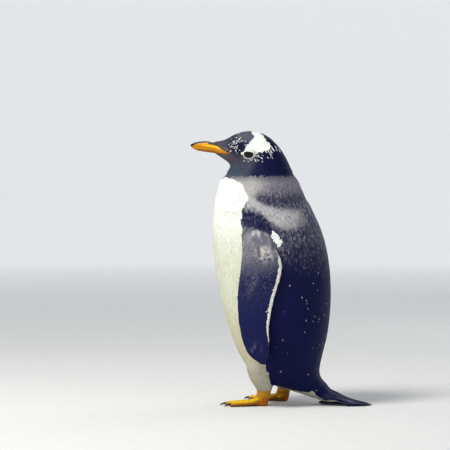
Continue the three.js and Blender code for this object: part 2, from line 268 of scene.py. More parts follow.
def slice_of(shape, axis, at):
    """Where a plane across an axis cuts a shape's edges."""
    points, triangles = shape
    a, b = (points[k] for k in edges_of(triangles).T)
    low, high = a[:, axis] - at, b[:, axis] - at
    cut = low * high < 0
    share = (low / np.where(cut, low - high, 1))[cut, None]
    return a[cut] + (b[cut] - a[cut]) * share


def middle(shape, axis, at):
    """The middle of the slice's box."""
    cut = slice_of(shape, axis, at)
    return (cut.min(axis=0) + cut.max(axis=0)) / 2


# ---- places that the solids give ------------------------------------------------------------

SIDES = {"left": 1, "right": -1}
BODY = ["head", "neck", "trunk", "leg_left", "leg_right", "foot_left", "foot_right"]
FLIPPERS = ["flipper_left", "flipper_right"]
FLESH = BODY + FLIPPERS
CORE = BODY + ["tail"]  # the tail's root is flesh too, but tail_feathers replaces its solid
ALL_FLESH = FLESH + ["tail"]


def cad_shape(node):
    return welded(*arrays_of(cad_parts[node].data))


def corners(node):
    return [np.array(c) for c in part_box(node)]


SHAPES = {node: cad_shape(node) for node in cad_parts}
EYE = sum(corners("eye_left")) / 2
EYE_RADIUS = (corners("eye_left")[1] - corners("eye_left")[0])[1] / 2
BILL_TIP, GAPE = (corners("bill_upper")[k][1] for k in (0, 1))
FACE = corners("head")[0][1]
LORES = FACE - 5 * MM  # how far forward the plumage reaches over the bill
HOOD_EDGE = corners("head")[0][2] - 5 * MM
FLIPPER_TOP = corners("flipper_left")[1][2]
TRUNK_LOW, TRUNK_HIGH = corners("trunk")
TAIL_LOW, TAIL_HIGH = corners("tail")


def body_line():
    """From the bill's base through skull, neck and trunk to the tail's root."""
    bill = sum(corners("bill_upper") + corners("bill_lower")) / 4
    knots = [[0, FACE, bill[2]], [0, EYE[1], EYE[2] + 4 * MM], [0, EYE[1] + 30 * MM, EYE[2] - 8 * MM]]
    knots += [middle(SHAPES["neck"], 2, 400 * MM) * [0, 1, 1]]
    trunk_levels = np.linspace(TRUNK_HIGH[2] - 30 * MM, TRUNK_LOW[2] + 75 * MM, 6)
    knots += [middle(SHAPES["trunk"], 2, z) * [0, 1, 1] for z in trunk_levels]
    knots += [[0, TAIL_LOW[1] - 12 * MM, TAIL_HIGH[2] + 14 * MM]]
    knots += [[0, TAIL_LOW[1] + 20 * MM, TAIL_HIGH[2] - 8 * MM]]
    return Line(knots)


SPINE = body_line()

# ---- the skin -------------------------------------------------------------------------------

# How deep the plumage is, and so how far the skin lies inside the solids.
DEPTH = {"head": 1.1, "neck": 1.7, "trunk": 1.9, "leg": 1.6, "foot": 0.0, "flipper": 0.55, "tail": 3.0}
SWELL = 0.35 * MM  # closes the thin cuts between the solids
VOXEL = 1.25 * MM
KEPT_FACES = 0.2  # share of the skin's faces that are left where it is thinned out
TAIL_FLESH = TAIL_LOW[1] + 66 * MM  # how far back the flesh of the tail reaches
ANKLE_FOLDS = 4.6  # mm from one fold of the ankle to the next


def family(node):
    """head, neck, trunk, leg, foot or flipper."""
    return node.split("_")[0]


def labelled(nodes):
    """The solids' surface as one, and the family of the node that each face is from."""
    names = np.concatenate([[family(n)] * len(SHAPES[n][1]) for n in nodes])
    return Nearest(*joined([SHAPES[n] for n in nodes])), names


def parts_at(places, nodes):
    """The family of the solid nearest to each place."""
    near, names = labelled(nodes)
    return names[near(places)[2]]


def swollen(node):
    """A solid grown enough to overlap its neighbours."""
    points, triangles = SHAPES[node]
    return points + normals_of(points, triangles) * SWELL, triangles


def bill_root(node, front):
    """The back of the bill, which fills its pocket in the head and carries the lores."""
    points, triangles = SHAPES[node]
    points = points.copy()
    points[:, 1] = np.maximum(points[:, 1], front)
    return points, triangles


def tail_root():
    """The tail's solid drawn in to a wedge of flesh, which carries the tail feathers."""
    points, triangles = SHAPES["tail"]
    points = points.copy()
    share = smoothstep(TAIL_LOW[1] + 26 * MM, TAIL_FLESH, points[:, 1])
    points[:, 1] = np.minimum(points[:, 1], TAIL_FLESH)
    middle_height = np.interp(points[:, 1] / MM, [56, 80, 100, 122], [12, 17, 14, 8.5]) * MM
    points[:, 2] += (middle_height - points[:, 2]) * 0.55 * share
    points[:, 0] *= 1 - 0.3 * share
    return points, triangles


def rebuilt(shapes, voxel):
    """One closed surface round shapes that overlap."""
    return through_modifier(*joined(shapes), "REMESH", mode="VOXEL", voxel_size=voxel)


def smoothed_and_sunk(points, triangles, nodes):
    """Takes the edges off the joined solids and moves them in by the plumage's depth."""
    part = parts_at(points, nodes)
    edges = edges_of(triangles)
    points = relax(points, edges, 1, 7)
    depth = np.array([[DEPTH[p] * MM + SWELL] for p in part])
    depth = relax(depth, edges, 1, 8, back=0)
    return points - normals_of(points, triangles) * depth


def bump(value, centre, width):
    """1 at the centre, falling off as a bell does."""
    return np.exp(-(((value - centre) / width) ** 2))


# Lines of the shoulder from front to back, in mm: each point's y, its height, and half the
# breadth of the fold there. They shape the skin, and place painted light on the ledge and
# painted shade in the crease and in the neck's fold.
LEDGE = np.array([(-45, 361, 12), (-23, 353, 9), (-9, 344, 12), (5, 337, 17), (23, 332, 19)]
                 + [(41, 334, 17), (60, 338, 12)]).T
CREASE = np.array([(-60, 334, 9), (-39, 331.5, 12), (-20, 325, 12), (-9, 319, 9), (0, 311, 5)]
                  + [(8, 307, 3)]).T
FOLD = np.array([(-33, 375), (-18, 367), (-4, 363), (16, 362), (30, 366), (44, 370), (60, 371)]).T


def from_line(y, z, line):
    """How far off a line each place is, in half breadths."""
    return np.abs(z - np.interp(y, line[0], line[1])) / np.interp(y, line[0], line[2])


def creases(x, y, z):
    """How strongly each place is in the fold of the neck, on the ledge of the shoulder and in the
    crease over the flipper, each from 0 to 1. They shape the skin, and the colour paints shade in
    the fold and the crease and light on the ledge. Places are in mm."""
    side = smoothstep(36, 56, np.abs(x) + 8 * smoothstep(10, 50, y))
    shaded_fold = bump(z, np.interp(y, *FOLD), 7.5) * smoothstep(-42, -22, y)
    shaded_fold = shaded_fold * (1 - 0.35 * smoothstep(20, 60, y))
    lit_ledge = smoothstep(1.3, 0.45, from_line(y, z, LEDGE)) * side
    lit_ledge = lit_ledge * smoothstep(-52, -43, y) * smoothstep(66, 24, y)
    shaded_crease = smoothstep(1.25, 0.75, from_line(y, z, CREASE)) * smoothstep(13, 3, y) * side
    return shaded_fold, lit_ledge, shaded_crease


def folds(places):
    """How far the skin stands out in its folds: the ruff under the hood, the creases of the
    shoulder and the drape over the flipper."""
    x, y, z = places.T / MM
    hood = HOOD_EDGE / MM
    out = 1.6 * bump(z, hood - 10, 8) - 1.2 * bump(z, hood + 3, 5)
    shaded_fold, lit_ledge, shaded_crease = creases(x, y, z)
    out += 2.0 * lit_ledge - 1.8 * shaded_fold - 2.2 * shaded_crease
    eye_y, eye_z = EYE[1] / MM, EYE[2] / MM
    brow = bump(y, eye_y + 1, 9) * bump(z, eye_z + 9.5, 4)
    out += smoothstep(12, 20, np.abs(x)) * 0.9 * brow
    return out[:, None] * MM


def wrinkles(places, part):
    """How far the skin stands out in the slanting folds round the ankle."""
    x, y, z = places.T / MM
    ankle = smoothstep(6, 12, z) * (part == "foot")
    slant = z + 0.55 * y + 0.25 * np.abs(x) + 3 * noise(places, 9 * MM, 5)
    return (ankle * 0.35 * np.sin(slant * 2 * math.pi / ANKLE_FOLDS))[:, None] * MM


def bare_skin():
    """The one skin, from the solids of flesh joined, smoothed, sunk, thinned out and folded."""
    filled = ["eye_left", "eye_right"]
    shapes = [swollen(n) for n in BODY] + [SHAPES[n] for n in filled]
    shapes += [bill_root("bill_upper", LORES), bill_root("bill_lower", FACE + 4 * MM), tail_root()]
    body = rebuilt(shapes, VOXEL)
    shapes = [(smoothed_and_sunk(*body, CORE), body[1])]
    for node in FLIPPERS:
        blade = rebuilt([swollen(node)], VOXEL * 0.7)
        shapes.append((smoothed_and_sunk(*blade, [node]), blade[1]))
    points, triangles = rebuilt(shapes, VOXEL)
    points = relax(points, edges_of(triangles), 1, 4)
    coarse = np.where(np.isin(parts_at(points, ALL_FLESH), ["head", "foot"]), 0.2, 1.0)
    points, triangles = through_modifier(
        points, triangles, "DECIMATE", weights=coarse, ratio=KEPT_FACES, vertex_group_factor=1.0
    )
    part = parts_at(points, ALL_FLESH)
    edges = edges_of(triangles)
    strength = np.where(np.isin(part, ["trunk", "neck"]), 1.0, np.where(part == "leg", 0.4, 0.1))
    strength[part == "foot"] = 0.05
    join = FLIPPER_TOP - 17 * MM < points[:, 2]
    strength[join & (np.abs(points[:, 0]) > corners("flipper_left")[0][0] - 6 * MM) & (part != "neck")] = 1.0
    strength = relax(strength[:, None], edges, 1, 4, back=0)[:, 0]
    points = relax(points, edges, strength, 24, back=0)
    normals = normals_of(points, triangles)
    return socketed(points + normals * (folds(points) + wrinkles(points, part))), triangles


# ---- eyes and lids --------------------------------------------------------------------------

# The opening between the lids: half its length, and how far it reaches above and below.
OPENING = {"half": 8.2 * MM, "above": 4.7 * MM, "below": 6.0 * MM}
BALL = 12.5 * MM  # a penguin's eye is a large ball, of which the solid shows the front
LID = 0.5 * MM  # how far the lids stand off the eyeball
CORNEA = 0.3 * MM  # how far the clear front stands out from the ball


def eye_axes(side):
    """The eye's centre and its directions: outwards, towards the bill and up."""
    sign = SIDES[side]
    out = unit(np.array([sign, -0.02, -0.07]))
    front = unit(np.array([0, -1, 0.06]) - out * np.dot([0, -1, 0.06], out))
    centre = EYE * [sign, 1, 1] + out * (EYE_RADIUS - BALL)
    return centre, out, front, np.cross(out, front) * sign * -1


def opening_reach(turn, grow=0.0):
    """How far the lids' edge is from the eye's axis, turn being the angle from the front."""
    up = np.sin(turn)
    height = np.where(up > 0, OPENING["above"], OPENING["below"]) + grow
    power = np.where(up > 0, 2.6, 2.1)
    half = OPENING["half"] + grow
    return (np.abs(np.cos(turn) / half) ** power + np.abs(up / height) ** power) ** (-1 / power)


def eye_place(places, side):
    """Distance from the eye's axis, the angle round it and whether a place is on its side."""
    centre, out, front, up = eye_axes(side)
    local = places - centre
    a, b, c = local @ front, local @ up, local @ out
    return np.hypot(a, b), np.arctan2(b, a), c > 0


def outside_opening(places):
    """How far beyond the nearer eye's opening each place is, and the angle round that eye."""
    beyond, turn = np.full(len(places), 1.0), np.zeros(len(places))
    for side, sign in SIDES.items():
        reach, angle, outwards = eye_place(places, side)
        here = (places[:, 0] * sign > 0) & outwards
        beyond = np.where(here, reach - opening_reach(angle), beyond)
        turn = np.where(here, angle, turn)
    return beyond, turn


def socketed(points):
    """Takes the skin round each eye down under the lids."""
    points = points.copy()
    for side in SIDES:
        centre, out, front, up = eye_axes(side)
        local = points - centre
        height = local @ out
        reach = np.hypot(local @ front, local @ up)
        beyond = reach - opening_reach(np.arctan2(local @ up, local @ front))
        under = np.sqrt(np.maximum((BALL + LID) ** 2 - reach**2, 0)) - 0.8 * MM
        share = smoothstep(6.5 * MM, 1.4 * MM, beyond) * (height > 0)
        points -= out * (np.maximum(height - under, 0) * share)[:, None]
    return points


def lathe(centre, out, front, up, rings, sides):
    """A surface of rings round an axis. Each ring is (distance from the axis per side, height)."""
    turns = np.linspace(0, 2 * math.pi, sides, endpoint=False)
    rows = []
    for reach, height in rings:
        reach = np.broadcast_to(reach, turns.shape)[:, None]
        height = np.broadcast_to(height, turns.shape)[:, None]
        spoke = np.cos(turns)[:, None] * front + np.sin(turns)[:, None] * up
        rows.append(centre + reach * spoke + height * out)
    return np.concatenate(rows), grid_faces(len(rings), sides, True)


def grid_faces(rows, columns, closed):
    """Triangles of a grid of points, joined round when closed."""
    r, c = np.meshgrid(np.arange(rows - 1), np.arange(columns if closed else columns - 1), indexing="ij")
    a, b = r * columns + c, r * columns + (c + 1) % columns
    quads = np.stack([a, b, b + columns, a + columns], axis=-1).reshape(-1, 4)
    return np.concatenate([quads[:, [0, 1, 2]], quads[:, [0, 2, 3]]])


def around(sides):
    """The numbers of a ring's points, and of the next point after each."""
    turned = np.arange(sides)
    return turned, (turned + 1) % sides


def cap(hub, start, sides, ahead_first=False):
    """Triangles from one point to a ring of points that begins at start."""
    turned, ahead = around(sides)
    first, second = (ahead, turned) if ahead_first else (turned, ahead)
    return np.stack([np.full(sides, hub), start + first, start + second], axis=1)


def outward(points, triangles, centre=0):
    """A closed surface's triangles, turned if need be so that they face out."""
    a, b, c = (points[triangles[:, k]] - centre for k in range(3))
    return triangles if np.sum(np.cross(a, b) * c) > 0 else triangles[:, ::-1]


def lids(side):
    """A thin shell over the eyeball with an opening, its edge rounded."""
    centre, out, front, up = eye_axes(side)
    sides = 72
    turns = np.linspace(0, 2 * math.pi, sides, endpoint=False)
    rim = opening_reach(turns)
    outer_reach = 11.6 * MM
    rings = []
    for share in np.linspace(0, 1, 12):
        reach = rim + (outer_reach - rim) * share
        radius = BALL + LID * (0.75 + 0.5 * bump(share, 0.2, 0.16))
        rings.append((reach, np.sqrt(np.maximum(radius**2 - reach**2, 0))))
    for share in np.linspace(1, 0, 5):
        reach = rim + 0.12 * MM + (outer_reach - rim) * share
        radius = BALL - 0.25 * MM
        rings.append((reach, np.sqrt(np.maximum(radius**2 - reach**2, 0))))
    points, triangles = lathe(centre, out, front, up, rings, sides)
    last = (len(rings) - 1) * sides
    turned, ahead = around(sides)
    rim_seal = np.stack([last + turned, last + ahead, ahead], axis=1)
    rim_seal = np.concatenate([rim_seal, np.stack([last + turned, ahead, turned], axis=1)])
    triangles = np.concatenate([triangles, rim_seal])
    return points, outward(points, triangles, centre)


def eyeball(side):
    """The ball with its clear front standing out a little, coloured pupil, iris and dark edge."""
    centre, out, front, up = eye_axes(side)
    angles = np.concatenate([np.linspace(0.02, 0.9, 26), np.linspace(0.95, math.pi - 0.02, 18)])
    rings = []
    for angle in angles:
        radius = BALL + CORNEA * max(0, 1 - (angle / 0.6) ** 2)
        rings.append((radius * math.sin(angle), radius * math.cos(angle)))
    sides = 64
    points, triangles = lathe(centre, out, front, up, rings, sides)
    tips = np.array([centre + out * (BALL + CORNEA), centre - out * BALL])
    front_hub, back_hub = len(points), len(points) + 1
    caps = [cap(front_hub, 0, sides, ahead_first=True), cap(back_hub, (len(rings) - 1) * sides, sides)]
    points = np.concatenate([points, tips])
    triangles = np.concatenate([triangles] + caps)
    local = unit(points - centre)
    angle = np.arccos(np.clip(local @ out, -1, 1))
    spokes = noise(unit(local - (local @ out)[:, None] * out) * 10 * MM, 0.9 * MM, 7)
    iris = rgb(22, 14, 13) * (0.6 + 0.8 * spokes[:, None])
    colour = blend(rgb(4, 4, 6), iris, smoothstep(0.27, 0.32, angle))
    colour = blend(colour, rgb(9, 7, 8), smoothstep(0.46, 0.56, angle))
    return points, outward(points, triangles, centre), colour


# ---- colours --------------------------------------------------------------------------------


def rgb(*levels):
    """A screen colour, 0 to 255, as the linear one that shaders use."""
    share = np.array(levels) / 255
    return np.where(share <= 0.04045, share / 12.92, ((share + 0.055) / 1.055) ** 2.4)


def blend(under, over, share):
    share = np.asarray(share)[..., None]
    return under * (1 - share) + over * share


PLUMAGE = {
    "white": rgb(229, 231, 224),
    # The belly darkens downwards, partly cream plumage and partly painted shade; the leg's grey is painted
    # shade on white feathers.
    "belly": rgb(208, 210, 188),
    "low belly": rgb(199, 193, 162),
    "leg": rgb(166, 162, 144),
    # The crown's lighter grey is painted light and sheen on the top of the head.
    "crown": rgb(78, 81, 92),
    "hood": rgb(60, 62, 74),
    "lores": rgb(94, 84, 84),
    "band": rgb(12, 14, 46),
    "throat": rgb(60, 70, 84),
    "nape": rgb(10, 12, 50),
    # The neck's taupe, the throat side's pale taupe and the shoulder's grey are partly worn plumage and
    # partly painted light from above.
    "neck": rgb(118, 113, 120),
    "throat side": rgb(164, 161, 157),
    "shoulder": rgb(98, 97, 108),
    # The ledge's pale grey is painted light on the top of the shoulder.
    "lit_ledge": rgb(192, 189, 187),
    "silver": rgb(158, 156, 160),
    # The fold's dark is painted shade in the fold of the neck.
    "shaded_fold": rgb(46, 46, 66),
    "back": rgb(12, 15, 54),
    "low back": rgb(11, 13, 58),
    "flipper": rgb(34, 38, 76),
    "flipper tip": rgb(24, 28, 74),
    "flipper top": rgb(150, 147, 152),
    "mottled": rgb(112, 110, 120),
    "pale": rgb(216, 209, 203),
    "edge": rgb(230, 228, 216),
    "tail": rgb(34, 37, 68),
}


def toned(colour, tone, share):
    """A colour with one of the plumage's tones laid over it."""
    return blend(colour, PLUMAGE[tone], share)


# The white patch over the eye, seen from the side: places from the eye's centre, in mm, back
# and up.
PATCH = np.array(
    [(-8.5, 4), (-8.5, 7.6), (-4.3, 14.2), (0.5, 19.9), (6.5, 25.6), (8, 31), (2.3, 38), (-1, 41)]
    + [(-1, 48), (13, 48), (12.6, 40), (21.5, 33.4), (27.6, 25.6), (33.8, 19.9), (37.3, 14.2)]
    + [(36.9, 8.6), (32, 6), (19, 3.2), (10, -1.5), (6, 0), (0, 2)]
)


def freckles(centre, spread, count, seed):
    """Small marks strewn about a place: where they are and how long, in mm."""
    draw = np.random.default_rng(seed)
    return draw.normal(centre, spread, (count, 2)), draw.uniform(0.5, 1.5, count)


# Short pale dashes on the forehead and under the eye, in mm back and up from the eye.
DASHES = [freckles((-29, 15), (7.5, 7), 78, 12), freckles((-17, 24), (5, 3.5), 16, 3)]
DASHES += [freckles((5, -13), (8, 2.2), 10, 4), freckles((30, -8), (11, 6), 10, 9)]


def outside_outline(places, outline):
    """How far each flat place is outside an outline, less than nothing inside it."""
    a, b = outline, np.roll(outline, -1, axis=0)
    along = b - a
    rel = places[:, None] - a
    share = np.clip((rel * along).sum(2) / (along**2).sum(1), 0, 1)
    gap = np.linalg.norm(rel - share[..., None] * along, axis=2).min(axis=1)
    crosses = (a[:, 1] > places[:, None, 1]) != (b[:, 1] > places[:, None, 1])
    rise = np.where(along[:, 1] == 0, 1e-9, along[:, 1])
    left = places[:, None, 0] < along[:, 0] * (places[:, None, 1] - a[:, 1]) / rise + a[:, 0]
    inside = (crosses & left).sum(axis=1) % 2 == 1
    return np.where(inside, -gap, gap)


# Where white gives way to black on the side, by height in mm: the front edge of the black.
BLACK_FROM = np.array(
    [(30, -4), (45, -9), (75, -15), (130, -28), (190, -40), (250, -50), (321, -58), (345, -58)]
    + [(361, -51), (372, -47), (384, -55), (395, -61), (402, -78), (409, -104)]
)


def flipper_edges():
    """The flipper's leading and trailing edges by height."""
    levels = np.linspace(corners("flipper_left")[0][2] + 1e-4, corners("flipper_left")[1][2] - 1e-4, 90)
    cuts = [slice_of(SHAPES["flipper_left"], 2, z)[:, 1] for z in levels]
    return levels, np.array([c.min() for c in cuts]), np.array([c.max() for c in cuts])


FLIPPER_LEVELS, LEADING, TRAILING = flipper_edges()


def flipper_place(places):
    """Share from shoulder to tip, place across (-1 at the leading edge, 1 at the trailing one)
    and distance from the trailing edge."""
    z = places[:, 2]
    lead, trail = (np.interp(z, FLIPPER_LEVELS, edge) for edge in (LEADING, TRAILING))
    along = (FLIPPER_LEVELS[-1] - z) / (FLIPPER_LEVELS[-1] - FLIPPER_LEVELS[0])
    return along, (2 * places[:, 1] - lead - trail) / np.maximum(trail - lead, 1e-4), trail - places[:, 1]


def hood_colour(y, z, fine):
    """The dark of the head. y and z are in mm from the eye, back and up."""
    colour = blend(PLUMAGE["hood"], PLUMAGE["throat"], smoothstep(-10, -28, z) * smoothstep(-6, -26, y))
    lores = bump(y, -58, 22) * bump(z, 4, 16) + 0.6 * bump(y, -44, 16) * bump(z, -8, 10)
    colour = toned(colour, "lores", np.clip(lores, 0, 1))
    front = bump(y, -20, 17) * bump(z, 14, 15)
    colour = toned(colour, "band", np.clip(1.25 * front, 0, 1))
    # Painted light and sheen: a lighter grey on the top of the head.
    crown = smoothstep(16, 26, z + 0.3 * y) * smoothstep(-32, -20, y) * smoothstep(26, 12, y)
    colour = toned(colour, "crown", crown)
    colour = toned(colour, "nape", smoothstep(8, 26, y - 0.35 * z))
    return colour * (0.8 + 0.4 * fine[:, None])


def head_white(places, y, z, luck):
    """How white the head is at each place, 0 to 1: the patch, the ring round the eye, the
    streaks that run down behind them and the fainter dashes on the forehead. y and z are in mm
    from the eye, back and up."""
    edge = outside_outline(np.stack([y, z], axis=1), PATCH)
    white = (edge + 1.6 * (noise(places, 2.2 * MM, 3) - 0.5) + 0.6 * (luck - 0.5) < 0).astype(float)
    across, along = 0.88 * y + 0.48 * z, 0.48 * y - 0.88 * z
    across = across + 2.6 * (noise(places, 7 * MM, 19) - 0.5)
    stripe = np.abs((across / 3.9) % 1 - 0.5) * 3.9
    broken = noise(np.stack([np.floor(across / 3.9) * 7, along * 0.6, 0 * y], 1) * MM, 5.2 * MM, 11)
    zone = smoothstep(-2, 8, y) * smoothstep(19, 2, edge) * smoothstep(-25, -10, z) * smoothstep(17, 9, z)
    streaks = (stripe < 0.25 + 0.5 * zone) & (broken > 0.6 - 0.38 * zone) & (zone > 0.04)
    white = np.maximum(white, 0.85 * streaks)
    for spots, lengths in DASHES:
        for (back, up), long in zip(spots, lengths):
            aside = (0.8 * (y - back) + 0.6 * (z - up)) / 0.6
            ahead = (0.6 * (y - back) - 0.8 * (z - up)) / long
            white = np.maximum(white, 0.62 * (np.hypot(aside, ahead) < 1))
    beyond, turn = outside_opening(places)
    ring = 1.4 + 1.8 * smoothstep(0.6, -0.1, np.sin(turn)) + 1.8 * bump(turn, 0.33, 0.26)
    return np.maximum(white, beyond / MM < ring + 0.4 * (luck - 0.5))


def body_colour(places, x, y, z, luck):
    """The dark of the neck and back, with painted light on the shoulder's ledge, painted shade in the
    neck's fold and the crease over the flipper, and a grey shoulder and taupe neck that are partly
    worn plumage and partly painted light.
    """
    shaded_fold, lit_ledge, shaded_crease = creases(x, y, z)
    single = (luck * 5.13) % 1
    stipple = 0.5 * noise(places, np.array([2, 3, 6]) * MM, 13) + 0.5 * single
    front = smoothstep(-6, -42, y)
    colour = blend(PLUMAGE["back"], PLUMAGE["low back"], smoothstep(250, 120, z))
    # The grey rising over the shoulder is partly worn plumage and partly painted light from above.
    grey = smoothstep(232, 335, z + 0.1 * y) * (0.66 + 0.34 * smoothstep(60, 0, y))
    colour = toned(colour, "shoulder", grey * (0.2 + 0.8 * smoothstep(0.2, 0.8, stipple)))
    # The taupe band under the hood, palest at the front, is partly worn plumage and partly painted light from
    # above.
    low_edge = np.interp(y, [-45, -25, 5], [352, 364, 370])
    neck = smoothstep(low_edge, low_edge + 24, z + 4 * (stipple - 0.5))
    neck_tint = blend(PLUMAGE["neck"], PLUMAGE["throat side"], front)
    colour = blend(colour, neck_tint, neck * (0.82 + 0.18 * front))
    # Painted light on the shoulder's ledge.
    colour = toned(colour, "lit_ledge", lit_ledge * (0.68 + 0.5 * (stipple - 0.5)))
    # Painted shade in the neck's fold.
    colour = toned(colour, "shaded_fold", 0.85 * shaded_fold)
    # Painted shadow in the crease over the flipper, in the back's colour.
    colour = toned(colour, "back", 0.92 * shaded_crease)
    over_flipper = smoothstep(-68, -62, y) * smoothstep(-8, -20, y + 0.9 * (z - 318))
    over_flipper = over_flipper * smoothstep(323, 318, z + 0.3 * (y + 50))
    over_flipper = over_flipper * (z > 280) * (1 - shaded_crease) * (np.abs(x) > 60)
    colour = toned(colour, "shoulder", over_flipper)
    under_hood = smoothstep(13, 1, HOOD_EDGE / MM - z)
    colour = toned(colour, "hood", 0.6 * under_hood)
    colour = colour * (0.88 + 0.24 * noise(places, 3 * MM, 2)[:, None])
    flecked = 0.4 * smoothstep(0.74, 0.95, single) * smoothstep(215, 330, z) * (1 - 0.7 * shaded_crease - 0.5 * shaded_fold)
    return toned(colour, "silver", flecked * (1 - under_hood))


def white_colour(z, fine):
    """White plumage, yellower and darker down the belly, partly cream and partly painted shade, and
    greyer on the legs as painted shade.
    """
    colour = blend(PLUMAGE["white"], PLUMAGE["belly"], smoothstep(370, 240, z))
    # Darker and yellower downwards: partly cream plumage, partly painted shade; the legs' grey is painted
    # shade.
    colour = toned(colour, "low belly", smoothstep(220, 90, z))
    colour = toned(colour, "leg", smoothstep(92, 62, z))
    return colour * (0.95 + 0.1 * fine[:, None])


def flipper_colour(places, normals, fine, luck):
    """The mottled outer face with its white trailing edge, and the pale inner face."""
    along, across, to_trailing = flipper_place(places)
    outer = normals[:, 0] * np.sign(places[:, 0]) > -0.15
    z = places[:, 2] / MM
    colour = blend(PLUMAGE["flipper"], PLUMAGE["flipper tip"], smoothstep(0.35, 0.7, along))
    lumps = noise(places, np.array([8, 6, 9]) * MM, 31)
    top = smoothstep(0.42, 0.15, along + 0.12 * (lumps - 0.5) + 0.04 * across)
    colour = toned(colour, "flipper top", top * (0.35 + 0.6 * lumps))
    pale = bump(along, 0.215, 0.05) * bump(across, 0.3, 0.42)
    pale = pale + 0.55 * bump(along, 0.075, 0.03) * bump(across, 0.1, 0.5)
    spots = noise(places, 4 * MM, 37)
    pale = np.clip(1.3 * pale, 0, 1) * smoothstep(0.3, 0.55, lumps + 0.25 * (luck - 0.5))
    colour = toned(colour, "pale", pale)
    dark_spots = smoothstep(0.6, 0.72, spots) * bump(along, 0.24, 0.06) * bump(across, 0.25, 0.6)
    colour = toned(colour, "flipper", dark_spots)
    streak = bump(across, -0.2 - 1.2 * (along - 0.4), 0.16) * bump(along, 0.41, 0.08)
    colour = toned(colour, "mottled", 0.7 * streak * smoothstep(0.2, 0.7, fine))
    tip_marks = bump(along, 0.9, 0.04) * bump(across, -0.1, 0.35) * smoothstep(0.55, 0.75, lumps)
    colour = toned(colour, "mottled", 0.8 * tip_marks)
    speckle = (luck > 0.8) * smoothstep(0.7, 0.2, along)
    colour = toned(colour, "mottled", 0.4 * speckle)
    band = 2.4 * smoothstep(0.18, 0.2, along) + 4.4 * smoothstep(0.22, 0.28, along)
    band *= smoothstep(0.93, 0.6, along) ** 0.6
    white = to_trailing / MM < band + 1.1 * (noise(places, 2.4 * MM, 8) - 0.5) + 0.6 * (luck - 0.5)
    white &= band > 0.6
    lead_line = (across < -0.93) & (along < 0.16) & (along > 0.04)
    tick = (np.abs(z - 172 + 0.8 * (to_trailing / MM - 9)) < 1.3) & (np.abs(to_trailing / MM - 7.5) < 3.4)
    colour = toned(colour, "edge", (white | lead_line | tick).astype(float))
    edge = np.minimum((across + 1) * 2.2, (1 - across) * 4) + 0.5 * (lumps - 0.5)
    inside = smoothstep(0.35, 0.6, edge) * smoothstep(0.97, 0.88, along) * smoothstep(0.06, 0.12, along)
    under = blend(PLUMAGE["flipper"], PLUMAGE["belly"], inside)
    colour = np.where(outer[:, None], colour, under)
    return colour * (0.82 + 0.36 * fine[:, None])


def plumage(places, normals, part, luck):
    """The colour of the coat at each place, and of the skin under it. luck, from 0 to 1, differs
    from feather to feather."""
    x, y, z = places.T / MM
    fine = noise(places, 1.6 * MM, 1)
    eye_y, eye_z = y - EYE[1] / MM, z - EYE[2] / MM
    colour = body_colour(places, x, y, z, luck)
    ragged = 4.5 * (noise(places, 6 * MM, 4) - 0.5) + 2.4 * (noise(places, 1.8 * MM, 6) - 0.5)
    ragged = ragged + 1.5 * (luck - 0.5)
    black_from = np.interp(z, *BLACK_FROM.T)
    for side in SIDES:
        here = (part == "leg") & (x * SIDES[side] > 0)
        black_from = np.where(here, middle(SHAPES["leg_" + side], 2, 50 * MM)[1] / MM + 19, black_from)
    white = y + ragged < black_from
    low = (normals[:, 2] < -0.35 + 0.01 * ragged) & (np.abs(x) < 27) & (z < 62)
    colour = np.where((part == "tail")[:, None], PLUMAGE["tail"] * (0.7 + 0.6 * fine[:, None]), colour)
    white = (white & (part != "tail")) | low
    tuft = bump(y, 4 + 0.45 * (302 - z), 8) * bump(z, 302, 9.5) + 0.8 * bump(y, 11, 4) * bump(z, 290, 8)
    white |= (tuft + 0.35 * (luck - 0.5) > 0.5) & (part == "trunk") & (np.abs(x) > 60)
    colour = np.where(white[:, None], white_colour(z + 100 * (y > -20) * (z > 240), fine), colour)
    hood = z > HOOD_EDGE / MM + 0.8 * ragged - 3 * smoothstep(-60, -100, y) + 2 * (luck - 0.5)
    hood_tint = hood_colour(eye_y, eye_z, fine)
    colour = np.where((hood & (part != "flipper"))[:, None], hood_tint, colour)
    head = np.flatnonzero(hood & (part != "flipper"))
    bright = head_white(places[head], eye_y[head], eye_z[head], luck[head])
    colour[head] = blend(colour[head], PLUMAGE["white"] * (0.93 + 0.14 * fine[head, None]), bright)
    wing = np.flatnonzero(part == "flipper")
    colour[wing] = flipper_colour(places[wing], normals[wing], fine[wing], luck[wing])
    return colour


# ---- feathers -------------------------------------------------------------------------------


def vane_faces(rows, columns):
    """One closed vane: a root point, rows of points from its left edge over its shaft to its
    right edge, and a tip point. Returns its triangles and which of them are underneath."""
    last = 1 + rows * columns
    top, under = [], []
    for c in range(columns - 1):
        top.append((0, 2 + c, 1 + c))
        end = 1 + (rows - 1) * columns + c
        top.append((end, end + 1, last))
    right = columns - 1
    under.append((0, 1, 1 + right))
    under.append((last - 1, last - columns, last))
    for r in range(rows - 1):
        at = 1 + r * columns
        for c in range(columns - 1):
            a, b = at + c, at + c + 1
            top += [(a, b, b + columns), (a, b + columns, a + columns)]
        under += [(at, at + columns, at + columns + right), (at, at + columns + right, at + right)]
    return np.array(top + under), np.arange(len(top) + len(under)) >= len(top)


PATCH_SIZE = 0.003  # one vane's share of the OFBake map, each way
SHOWN = 0.72  # the place along a vane that shows most, where its colour is read
SUNK = 0.15 * MM  # how far a vane's root goes into the skin


